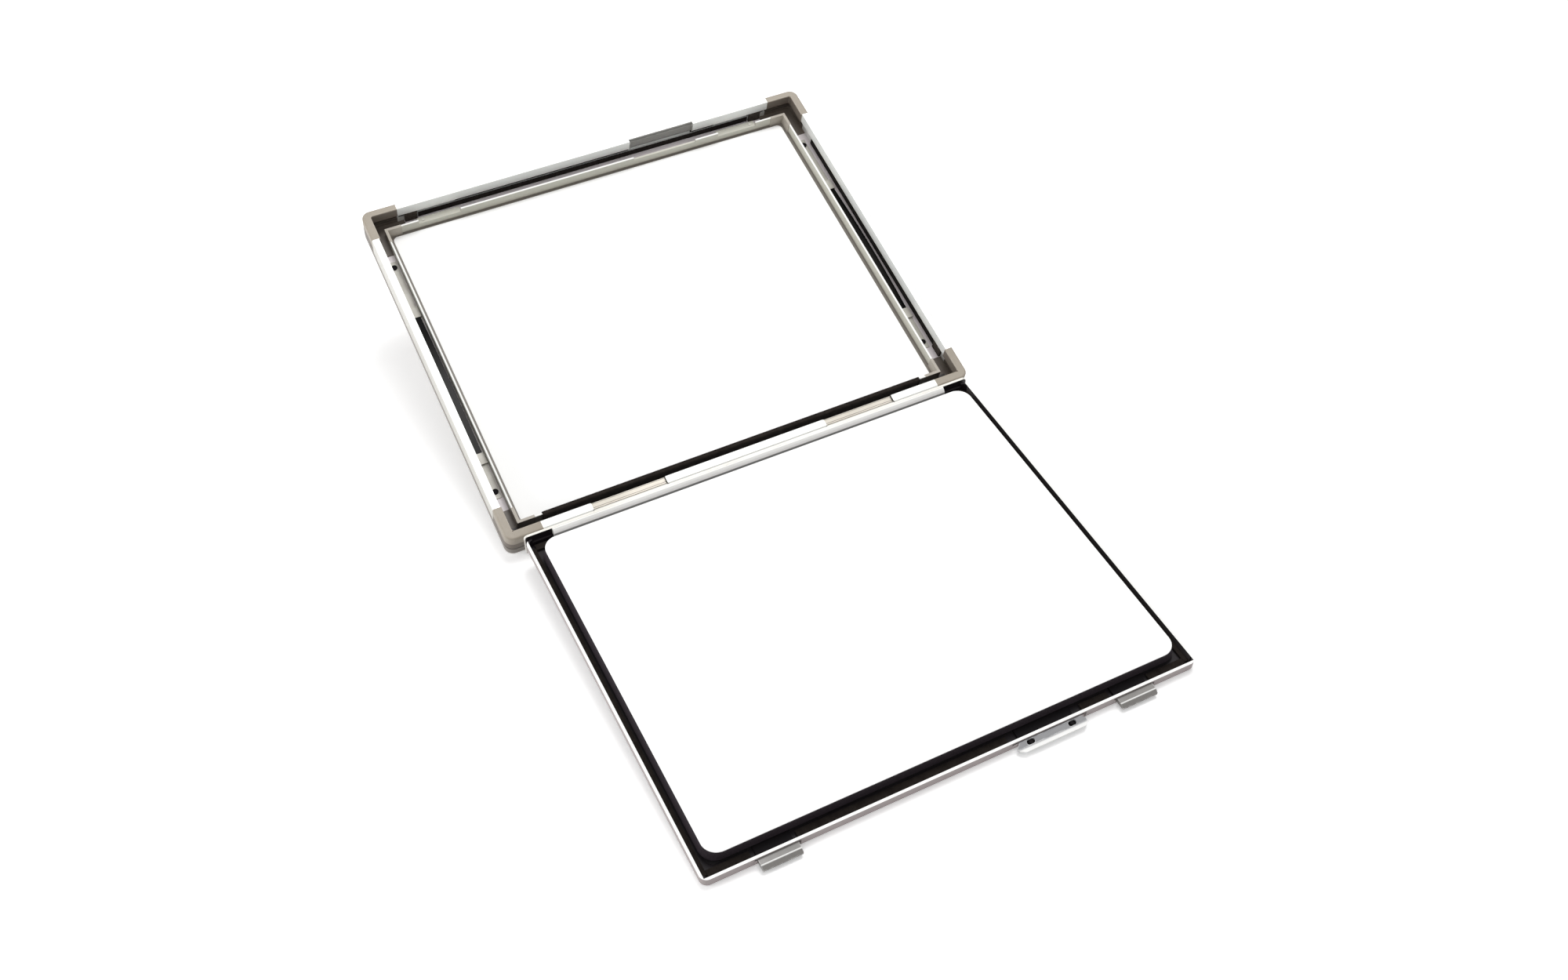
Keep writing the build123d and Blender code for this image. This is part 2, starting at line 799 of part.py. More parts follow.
def lug(side):
    """Sprung bolt: moulded nose with a ramp that rides in over the frame's lip."""
    low = back_rim + lug_top
    high = back_rim + lug_bottom
    tip = back_end + lug_tip
    inner = back_end - lug_root
    step = back_end - 0.4
    points = [(inner, bar_front), (inner, low), (tip - lug_chamfer, low),
              (tip, high - 0.6), (tip, high), (step, high), (step, bar_front)]
    x0 = side * lug_center - lug_width / 2
    nose = along_x(points, x0, x0 + lug_width)
    tips = nose.edges().filter_by(Axis.Z).filter_by_position(Axis.Y, tip - 0.1, tip + 0.1)
    return fillet(tips, 0.5)


def latch_tab():
    """Bent finger tab with clipped ends and two slotted holes."""
    front = [(-tab_root, 2.0), (0.4, 1.25), (3.0, 2.5), (tab_tip, 1.9)]
    rear = [(y, depth + tab_thick) for y, depth in reversed(front)]
    points = [(back_end + y, back_rim + depth) for y, depth in front + rear]
    half = tab_width / 2
    tab = along_x(points, notch_center - half, notch_center + half)
    plan = Polyline((half - 2.4, -4), (half - 2.4, 0.2), (half, 2.2), (half, 3.4),
                    (half - 2.6, tab_tip), (2.6 - half, tab_tip), (-half, 3.4), (-half, 2.2),
                    (2.4 - half, 0.2), (2.4 - half, -4), close=True)
    outline = extrude(Pos(notch_center, back_end, 0) * make_face(plan), amount=body_depth)
    tab = tab & outline
    for x in tab_stud_places():
        slot = SlotOverall(tab_slot_length, tab_slot_width)
        tab -= extrude(Pos(x, back_end + 1.7, 0) * slot, amount=body_depth)
    return tab


def tab_stud_places():
    return [notch_center - tab_slot_pitch / 2, notch_center + tab_slot_pitch / 2]


def tab_studs():
    """Studs on the latch bar that stand in the tab's slots."""
    seat = back_rim + tab_seat
    return group([disc(x, back_end + 1.7, back_rim + 1.9, seat, stud_radius)
                  for x in tab_stud_places()])


# ---------------------------------------------------------------- standing pose

def stand_tilt():
    """Tilt that sets the frame's hinge edge and the back's free edge on the table."""
    turn = math.radians(open_angle)
    y = back_end - back_edge_radius - pin_y
    z = back_top - back_edge_radius - pin_z
    edge_y = pin_y + y * math.cos(turn) - z * math.sin(turn)
    edge_z = pin_z + y * math.sin(turn) + z * math.cos(turn)
    reach = math.hypot(edge_y, edge_z)
    rise = math.asin(back_edge_radius / reach)
    return math.pi - math.atan2(edge_z, edge_y) - rise


def stand(shape, opens):
    """Move a piece from the closed cassette to the open one on the table."""
    if opens:
        about_pin = Pos(0, pin_y, pin_z) * Rot(open_angle, 0, 0) * Pos(0, -pin_y, -pin_z)
        shape = about_pin * shape
    return Rot(math.degrees(stand_tilt()), 0, 0) * shape


def centred(pieces):
    """Set the whole on the table, with the middle of its plan at the origin."""
    boxes = [shape.bounding_box() for shape in pieces.values()]
    low_y = min(box.min.Y for box in boxes)
    high_y = max(box.max.Y for box in boxes)
    low_z = min(box.min.Z for box in boxes)
    place = Pos(0, -(low_y + high_y) / 2, -low_z)
    return {name: place * shape for name, shape in pieces.items()}


stock = corner_stock()

frame_pieces = {
    "front_panel": front_panel(),
    "rail_right": rail_side(),
    "rail_left": mirror_x(rail_side()),
    "rail_latch_side": rail_far(),
    "rail_hinge_side": rail_hinge(),
    "corner_hinge_left": frame_corner(stock, -1, False),
    "corner_hinge_right": frame_corner(stock, 1, False),
    "corner_latch_left": frame_corner(stock, -1, True),
    "corner_latch_right": frame_corner(stock, 1, True),
    "hinge_pin": hinge_pin(),
    "rim_right": rim_side(),
    "rim_left": mirror_x(rim_side()),
    "rim_hinge_side": rim_hinge(),
    "rim_latch_side": rim_far(),
    "rim_corners": rim_corners(),
    "strike_rivets": rim_rivets(),
    "channel_liners": channel_liners(),
    "front_screen": front_screen(),
    "spring_carrier_right": spring_carrier(),
    "spring_carrier_left": mirror_x(spring_carrier()),
    "kick_spring_right": kick_spring(),
    "kick_spring_left": mirror_x(kick_spring()),
    "spring_clips": spring_clips(),
    "spring_rivets": spring_rivets(),
    "hinge_light_seal": hinge_light_seal(),
    "rail_felts": rail_felts(),
    "groove_plugs": groove_plugs(),
    "notch_insert": notch_insert(),
}

back_pieces = {
    "back_pan": back_pan(),
    "hinge_leaf": hinge_leaf(),
    "hinge_rivets": hinge_rivets(),
    "lead_foil": lead_foil(),
    "plate_posts": plate_posts(),
    "pressure_plate": pressure_plate(),
    "foam_pad": foam_pad(),
    "back_screen": back_screen(),
    "border_seal": border_seal(),
    "guide_pins": guide_pins(),
    "latch_bar": latch_bar(),
    "bolt_left": lug(-1),
    "bolt_right": lug(1),
    "latch_tab": latch_tab(),
    "tab_studs": tab_studs(),
}

standing = {name: stand(shape, opens=False) for name, shape in frame_pieces.items()}
standing.update({name: stand(shape, opens=True) for name, shape in back_pieces.items()})

os.makedirs("parts", exist_ok=True)
for name, shape in centred(standing).items():
    export_step(shape, f"parts/{name}.step")
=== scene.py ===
"""Looks for an 8 x 10 inch x-ray film cassette that stands open on a pale table."""

import logging
import math
from dataclasses import dataclass, field, replace
from enum import Enum

import bmesh
import bpy
from mathutils import Matrix, Vector, noise

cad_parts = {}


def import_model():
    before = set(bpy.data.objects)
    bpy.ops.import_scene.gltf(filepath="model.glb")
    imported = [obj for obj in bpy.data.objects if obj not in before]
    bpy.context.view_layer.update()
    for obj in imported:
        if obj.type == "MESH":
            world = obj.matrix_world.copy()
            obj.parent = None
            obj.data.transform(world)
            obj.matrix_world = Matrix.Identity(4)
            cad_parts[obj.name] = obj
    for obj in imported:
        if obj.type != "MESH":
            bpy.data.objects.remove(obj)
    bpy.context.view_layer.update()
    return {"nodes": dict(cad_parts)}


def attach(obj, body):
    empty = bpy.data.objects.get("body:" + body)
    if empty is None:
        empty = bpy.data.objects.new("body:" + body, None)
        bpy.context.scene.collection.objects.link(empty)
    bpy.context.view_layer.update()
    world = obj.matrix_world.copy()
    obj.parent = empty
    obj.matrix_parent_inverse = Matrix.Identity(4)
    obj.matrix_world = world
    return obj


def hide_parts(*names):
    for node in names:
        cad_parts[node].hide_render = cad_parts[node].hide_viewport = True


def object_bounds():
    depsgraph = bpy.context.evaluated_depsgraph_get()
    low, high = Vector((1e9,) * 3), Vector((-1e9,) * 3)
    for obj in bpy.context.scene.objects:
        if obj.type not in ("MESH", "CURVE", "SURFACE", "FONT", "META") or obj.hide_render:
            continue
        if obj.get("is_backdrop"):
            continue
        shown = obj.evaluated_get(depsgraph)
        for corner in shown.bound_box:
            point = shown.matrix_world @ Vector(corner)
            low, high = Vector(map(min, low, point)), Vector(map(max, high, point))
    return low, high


log = logging.getLogger("cassette")
MM = 0.001


class Body(Enum):
    """The three bodies of the cassette."""

    FRAME = "frame"
    BACK = "back"
    LATCH = "latch"


# ---------------------------------------------------------------- node helpers


class Tree:
    """A small builder for shader and group trees."""

    def __init__(self, tree: bpy.types.NodeTree) -> None:
        """Wrap a node tree.

        Args:
            tree: the tree that new nodes go into.
        """
        self.tree = tree

    def add(self, kind: str, **settings: object) -> bpy.types.Node:
        """Add a node.

        Args:
            kind: Blender's name of the node type.
            **settings: properties of the node.

        Returns:
            The new node.
        """
        node = self.tree.nodes.new(kind)
        for name, value in settings.items():
            setattr(node, name, value)
        return node

    def link(self, source: bpy.types.NodeSocket, target: bpy.types.NodeSocket) -> None:
        """Join two sockets."""
        self.tree.links.new(source, target)

    def feed(self, target: bpy.types.NodeSocket, value: object) -> None:
        """Link a socket or set a plain value.

        Args:
            target: the input that receives the value.
            value: a socket or a plain number, colour or vector.
        """
        if isinstance(value, bpy.types.NodeSocket):
            self.link(value, target)
        else:
            target.default_value = value

    def math(self, operation: str, first: object, second: object = 0.0) -> bpy.types.NodeSocket:
        """Add a math node.

        Args:
            operation: Blender's name of the operation.
            first: first value or socket.
            second: second value or socket.

        Returns:
            The result's socket.
        """
        node = self.add("ShaderNodeMath", operation=operation)
        self.feed(node.inputs[0], first)
        self.feed(node.inputs[1], second)
        return node.outputs[0]

    def noise(self, vector: bpy.types.NodeSocket, scale: object, detail: float = 4.0,
              roughness: float = 0.55) -> bpy.types.NodeSocket:
        """Add a noise texture.

        Args:
            vector: coordinates that it reads.
            scale: how many features to a metre.
            detail: how many octaves.
            roughness: how strong the fine octaves are.

        Returns:
            The noise value's socket.
        """
        node = self.add("ShaderNodeTexNoise")
        self.link(vector, node.inputs["Vector"])
        self.feed(node.inputs["Scale"], scale)
        node.inputs["Detail"].default_value = detail
        node.inputs["Roughness"].default_value = roughness
        return node.outputs["Fac"]

    def remap(self, value: bpy.types.NodeSocket, low: float, high: float, to_low: object = 0.0,
              to_high: object = 1.0) -> bpy.types.NodeSocket:
        """Add a clamped map range.

        Args:
            value: the value that is mapped.
            low: value that becomes to_low.
            high: value that becomes to_high.
            to_low: lowest result.
            to_high: highest result.

        Returns:
            The mapped value's socket.
        """
        node = self.add("ShaderNodeMapRange")
        self.link(value, node.inputs["Value"])
        node.inputs["From Min"].default_value = low
        node.inputs["From Max"].default_value = high
        self.feed(node.inputs["To Min"], to_low)
        self.feed(node.inputs["To Max"], to_high)
        return node.outputs["Result"]

    def mix(self, factor: object, first: object, second: object) -> bpy.types.NodeSocket:
        """Mix two colours.

        Args:
            factor: share of the second colour.
            first: first colour or socket.
            second: second colour or socket.

        Returns:
            The mixed colour's socket.
        """
        node = self.add("ShaderNodeMix", data_type="RGBA")
        self.feed(node.inputs[0], factor)
        self.feed(node.inputs[6], first)
        self.feed(node.inputs[7], second)
        return node.outputs[2]


def new_group(name: str, inputs: list[tuple[str, str, object]],
              outputs: list[tuple[str, str]]) -> tuple[Tree, bpy.types.Node, bpy.types.Node]:
    """Start a shader node group.

    Args:
        name: the group's name.
        inputs: name, socket type and default value of each input.
        outputs: name and socket type of each output.

    Returns:
        The tree builder, the group's input node and its output node.
    """
    tree = bpy.data.node_groups.new(name, "ShaderNodeTree")
    for label, kind, value in inputs:
        socket = tree.interface.new_socket(label, in_out="INPUT", socket_type=kind)
        socket.default_value = value
    for label, kind in outputs:
        tree.interface.new_socket(label, in_out="OUTPUT", socket_type=kind)
    build = Tree(tree)
    return build, build.add("NodeGroupInput"), build.add("NodeGroupOutput")


def build_mottle_group() -> bpy.types.NodeTree:
    """Soft colour and gloss variation with fine specks, for any surface.

    Returns:
        The node group.
    """
    build, given, result = new_group(
        "soft_mottle",
        [("Colour", "NodeSocketColor", (0.5, 0.5, 0.5, 1)), ("Second", "NodeSocketColor", (0.4, 0.4, 0.4, 1)),
         ("Scale", "NodeSocketFloat", 30.0), ("Amount", "NodeSocketFloat", 0.5),
         ("Gloss low", "NodeSocketFloat", 0.4), ("Gloss high", "NodeSocketFloat", 0.5)],
        [("Colour", "NodeSocketColor"), ("Roughness", "NodeSocketFloat"), ("Grain", "NodeSocketFloat")])
    place = build.add("ShaderNodeTexCoord").outputs["Object"]
    broad = build.noise(place, given.outputs["Scale"], 3.0)
    fine = build.noise(place, build.math("MULTIPLY", given.outputs["Scale"], 28.0), 5.0, 0.65)
    blend = build.math("ADD", build.math("MULTIPLY", broad, 0.65), build.math("MULTIPLY", fine, 0.35))
    share = build.math("MULTIPLY", build.remap(blend, 0.36, 0.64), given.outputs["Amount"])
    build.link(build.mix(share, given.outputs["Colour"], given.outputs["Second"]), result.inputs["Colour"])
    gloss = build.remap(broad, 0.3, 0.7, given.outputs["Gloss low"], given.outputs["Gloss high"])
    build.link(gloss, result.inputs["Roughness"])
    build.link(fine, result.inputs["Grain"])
    return build.tree


def build_brushed_group() -> bpy.types.NodeTree:
    """Fine lines drawn along one axis, as on drawn or brushed metal.

    Returns:
        The node group.
    """
    build, given, result = new_group(
        "drawn_lines",
        [("Stretch", "NodeSocketVector", (1.0, 60.0, 60.0)), ("Scale", "NodeSocketFloat", 60.0)],
        [("Lines", "NodeSocketFloat"), ("Scratches", "NodeSocketFloat")])
    place = build.add("ShaderNodeTexCoord").outputs["Object"]
    scale = build.add("ShaderNodeVectorMath", operation="MULTIPLY")
    build.link(place, scale.inputs[0])
    build.link(given.outputs["Stretch"], scale.inputs[1])
    lines = build.noise(scale.outputs[0], given.outputs["Scale"], 6.0, 0.7)
    build.link(lines, result.inputs["Lines"])
    scratch = build.noise(scale.outputs[0], build.math("MULTIPLY", given.outputs["Scale"], 0.35), 2.0)
    build.link(build.remap(scratch, 0.62, 0.70), result.inputs["Scratches"])
    return build.tree


def build_edge_group() -> bpy.types.NodeTree:
    """Worn edges: one where the surface turns sharply, broken up by noise.

    Returns:
        The node group.
    """
    build, given, result = new_group(
        "edge_wear",
        [("Radius", "NodeSocketFloat", 0.0006), ("Break up", "NodeSocketFloat", 300.0)],
        [("Edge", "NodeSocketFloat")])
    bevel = build.add("ShaderNodeBevel", samples=4)
    build.link(given.outputs["Radius"], bevel.inputs["Radius"])
    normal = build.add("ShaderNodeNewGeometry").outputs["Normal"]
    dot = build.add("ShaderNodeVectorMath", operation="DOT_PRODUCT")
    build.link(bevel.outputs["Normal"], dot.inputs[0])
    build.link(normal, dot.inputs[1])
    turn = build.remap(dot.outputs["Value"], 0.995, 0.93)
    place = build.add("ShaderNodeTexCoord").outputs["Object"]
    grit = build.remap(build.noise(place, given.outputs["Break up"], 4.0), 0.42, 0.60)
    build.link(build.math("MULTIPLY", turn, grit), result.inputs["Edge"])
    return build.tree


def build_zone_group() -> bpy.types.NodeTree:
    """A box in the closed cassette's own coordinates: one inside it, with a soft edge.

    Returns:
        The node group.
    """
    build, given, result = new_group(
        "zone",
        [("Turn", "NodeSocketVector", (0.0, 0.0, 0.0)), ("Shift", "NodeSocketVector", (0.0, 0.0, 0.0)),
         ("Centre", "NodeSocketVector", (0.0, 0.0, 0.0)), ("Half", "NodeSocketVector", (1.0, 1.0, 1.0)),
         ("Soft", "NodeSocketFloat", 0.05)],
        [("Inside", "NodeSocketFloat")])
    place = build.add("ShaderNodeTexCoord").outputs["Object"]
    closed = build.add("ShaderNodeMapping", vector_type="POINT")
    build.link(place, closed.inputs["Vector"])
    build.link(given.outputs["Turn"], closed.inputs["Rotation"])
    build.link(given.outputs["Shift"], closed.inputs["Location"])
    closed.inputs["Scale"].default_value = (1 / MM, 1 / MM, 1 / MM)
    offset = build.add("ShaderNodeVectorMath", operation="SUBTRACT")
    build.link(closed.outputs[0], offset.inputs[0])
    build.link(given.outputs["Centre"], offset.inputs[1])
    size = build.add("ShaderNodeVectorMath", operation="ABSOLUTE")
    build.link(offset.outputs[0], size.inputs[0])
    over = build.add("ShaderNodeVectorMath", operation="SUBTRACT")
    build.link(size.outputs[0], over.inputs[0])
    build.link(given.outputs["Half"], over.inputs[1])
    parts = build.add("ShaderNodeSeparateXYZ")
    build.link(over.outputs[0], parts.inputs[0])
    most = build.math("MAXIMUM", build.math("MAXIMUM", parts.outputs[0], parts.outputs[1]), parts.outputs[2])
    share = build.math("DIVIDE", most, given.outputs["Soft"])
    build.link(build.remap(share, 1.0, -1.0), result.inputs["Inside"])
    return build.tree


@dataclass
class EffectGroups:
    """The shader groups that the finishes share."""

    mottle: bpy.types.NodeTree = field(default_factory=build_mottle_group)
    lines: bpy.types.NodeTree = field(default_factory=build_brushed_group)
    edge: bpy.types.NodeTree = field(default_factory=build_edge_group)
    zone: bpy.types.NodeTree = field(default_factory=build_zone_group)


# ---------------------------------------------------------------- standing place


@dataclass
class Standing:
    """Where the closed cassette's own coordinates lie once it stands open.

    Attributes:
        tilt: tilt of the frame on the table, in degrees.
        opening: how far the back is open, in degrees.
        edge_y: row Y of the frame's lowest edge, in millimetres.
        pin_y: hinge pin in the closed cassette, in millimetres.
        pin_z: height of the pin in the closed cassette.
    """

    tilt: float = 18.0928
    opening: float = 165.7
    edge_y: float = 8.922
    pin_y: float = -0.6
    pin_z: float = 13.9

    def frame_matrix(self) -> Matrix:
        """Matrix from closed coordinates in millimetres to the row frame, for the frame."""
        lean = Matrix.Rotation(math.radians(self.tilt), 4, "X")
        shift = Matrix.Translation((0, self.edge_y, 0))
        return Matrix.Scale(MM, 4) @ shift @ lean

    def back_matrix(self) -> Matrix:
        """The same for the back, which is swung open about the pin."""
        pin = Matrix.Translation((0, self.pin_y, self.pin_z))
        turn = Matrix.Rotation(math.radians(self.opening), 4, "X")
        return self.frame_matrix() @ pin @ turn @ pin.inverted()

    def matrix(self, body: Body) -> Matrix:
        """The matrix of a body; the latch stands as the back does."""
        return self.frame_matrix() if body is Body.FRAME else self.back_matrix()


@dataclass(frozen=True)
class Zone:
    """A box of another colour, in the closed cassette's millimetres.

    Attributes:
        body: the body whose coordinates it is in.
        low: its lowest corner.
        high: its highest corner.
        colour: the colour inside it.
        soft: width of its edge.
        amount: share of the colour inside it.
    """

    body: Body
    low: tuple[float, float, float]
    high: tuple[float, float, float]
    colour: tuple[float, float, float]
    soft: float = 0.05
    amount: float = 1.0

    def paint(self, build: Tree, group: bpy.types.NodeTree,
              colour: bpy.types.NodeSocket) -> bpy.types.NodeSocket:
        """Paint the zone over a colour.

        Args:
            build: the material's tree.
            group: the zone group.
            colour: the colour under it.

        Returns:
            The new colour's socket.
        """
        inverse = Standing().matrix(self.body).inverted()
        node = build.add("ShaderNodeGroup", node_tree=group)
        node.inputs["Turn"].default_value = inverse.to_euler()
        node.inputs["Shift"].default_value = inverse.translation
        node.inputs["Centre"].default_value = [(a + b) / 2 for a, b in zip(self.low, self.high)]
        node.inputs["Half"].default_value = [(b - a) / 2 for a, b in zip(self.low, self.high)]
        node.inputs["Soft"].default_value = self.soft
        share = build.math("MULTIPLY", node.outputs["Inside"], self.amount)
        return build.mix(share, colour, (*self.colour, 1))


# ---------------------------------------------------------------- finishes


@dataclass(frozen=True)
class Finish:
    """A finish of one material.

    Attributes:
        name: the material's name.
        colour: main colour, linear.
        second: colour of its mottling.
        slot: the record's material slot; not used.
        scale: mottling features to a metre.
        amount: strength of the mottling.
        gloss: lowest and highest roughness.
        metallic: 1 for bare metal.
        stretch: direction of drawn lines, or none.
        line_depth: how strongly the lines change the gloss.
        bump: height of the surface grain in metres.
        edge_colour: colour of worn edges.
        edge_amount: share of wear on the edges.
        coat: weight of a clear coat.
        sheen: weight of fibre sheen.
        specular: strength of the reflection of a surface that isn't metal.
        zones: boxes of another colour.
    """

    name: str
    colour: tuple[float, float, float]
    second: tuple[float, float, float]
    slot: str
    scale: float = 30.0
    amount: float = 0.5
    gloss: tuple[float, float] = (0.4, 0.5)
    metallic: float = 0.0
    stretch: tuple[float, float, float] | None = None
    line_depth: float = 0.0
    bump: float = 0.0
    edge_colour: tuple[float, float, float] = (0.8, 0.8, 0.8)
    edge_amount: float = 0.0
    coat: float = 0.0
    sheen: float = 0.0
    specular: float = 0.5
    zones: tuple[Zone, ...] = ()

    def build(self, groups: EffectGroups) -> bpy.types.Material:
        """Make the material.

        Args:
            groups: the shared shader groups.

        Returns:
            The finished material.
        """
        material = bpy.data.materials.new(self.name)
        material.use_nodes = True
        build = Tree(material.node_tree)
        shader = material.node_tree.nodes["Principled BSDF"]
        mottle = build.add("ShaderNodeGroup", node_tree=groups.mottle)
        mottle.inputs["Colour"].default_value = (*self.colour, 1)
        mottle.inputs["Second"].default_value = (*self.second, 1)
        mottle.inputs["Scale"].default_value = self.scale
        mottle.inputs["Amount"].default_value = self.amount
        mottle.inputs["Gloss low"].default_value = self.gloss[0]
        mottle.inputs["Gloss high"].default_value = self.gloss[1]
        colour = mottle.outputs["Colour"]
        roughness = mottle.outputs["Roughness"]
        height = mottle.outputs["Grain"]
        if self.stretch:
            lines = build.add("ShaderNodeGroup", node_tree=groups.lines)
            lines.inputs["Stretch"].default_value = self.stretch
            shift = build.remap(lines.outputs["Lines"], 0.3, 0.7, -self.line_depth, self.line_depth)
            roughness = build.math("ADD", roughness, shift)
            height = build.math("ADD", height, lines.outputs["Lines"])
            dull = tuple(part * 0.86 for part in self.colour)
            share = build.math("MULTIPLY", lines.outputs["Scratches"], 0.5)
            colour = build.mix(share, colour, (*dull, 1))
        if self.edge_amount:
            edge = build.add("ShaderNodeGroup", node_tree=groups.edge)
            share = build.math("MULTIPLY", edge.outputs["Edge"], self.edge_amount)
            colour = build.mix(share, colour, (*self.edge_colour, 1))
        for zone in self.zones:
            colour = zone.paint(build, groups.zone, colour)
        build.link(colour, shader.inputs["Base Color"])
        build.link(roughness, shader.inputs["Roughness"])
        shader.inputs["Metallic"].default_value = self.metallic
        shader.inputs["Coat Weight"].default_value = self.coat
        shader.inputs["Sheen Weight"].default_value = self.sheen
        shader.inputs["Specular IOR Level"].default_value = self.specular
        if self.bump:
            bump = build.add("ShaderNodeBump")
            bump.inputs["Distance"].default_value = self.bump
            bump.inputs["Strength"].default_value = 0.7
            build.link(height, bump.inputs["Height"])
            build.link(bump.outputs["Normal"], shader.inputs["Normal"])
        return material


ALONG_X = (1.0, 60.0, 60.0)
ALONG_Y = (60.0, 1.0, 60.0)


WIDE = 200.0
# Near-black: the colour of the black felt and linings, and also painted shade in pockets, grooves and recesses.
BLACK_LINING_AND_SHADE = (0.012, 0.009, 0.011)
# Painted highlight: near-white put on tops, ridges and lips that catch the light.
PAINTED_HIGHLIGHT = (0.92, 0.92, 0.90)
# Painted shade over the hinge recesses.
RECESS_SHADE = (0.34, 0.30, 0.24)
WINDOWS = ((-96.3, 23.2), (47.8, 41.6), (96.3, 23.2))


def pocket_shade_zones() -> tuple[Zone, ...]:
    """Painted shade: black on the inner faces of the pockets behind the latch windows.

    Returns:
        One zone to a window.
    """
    # Painted shade inside each pocket.
    return tuple(Zone(Body.FRAME, (center - width / 2 - 0.1, 229.0, 6.8), (center + width / 2 + 0.1, 231.85, 10.05),
                      BLACK_LINING_AND_SHADE) for center, width in WINDOWS)


def recess_shade_zones() -> tuple[Zone, ...]:
    """Painted shade in the two hinge recesses: darker over each recess, with dark lines along it and at its ends.

    Returns:
        The zones of the hinge rail.
    """
    zones = []
    for side in (-1, 1):
        inner, outer = 48.4 * side, 91.8 * side
        # Painted shade: the whole recess darker.
        zones.append(Zone(Body.FRAME, (min(inner, outer), -4.0, 13.0), (max(inner, outer), 5.5, 15.9),
                          RECESS_SHADE, 0.15, 0.8))
        # Painted shade: two dark lines along each recess, painted rather than shaped.
        for row in (2.3, 4.7):
            zones.append(Zone(Body.FRAME, (min(inner, outer), row, 12.0), (max(inner, outer), row + 0.35, 16.2),
                              BLACK_LINING_AND_SHADE, 0.12, 0.7))
        # Painted shade at both ends of each recess.
        for end in (inner, outer):
            zones.append(Zone(Body.FRAME, (end - 0.4, -4.0, 13.0), (end + 0.4, 5.5, 16.2), BLACK_LINING_AND_SHADE, 0.15, 0.75))
    return tuple(zones)


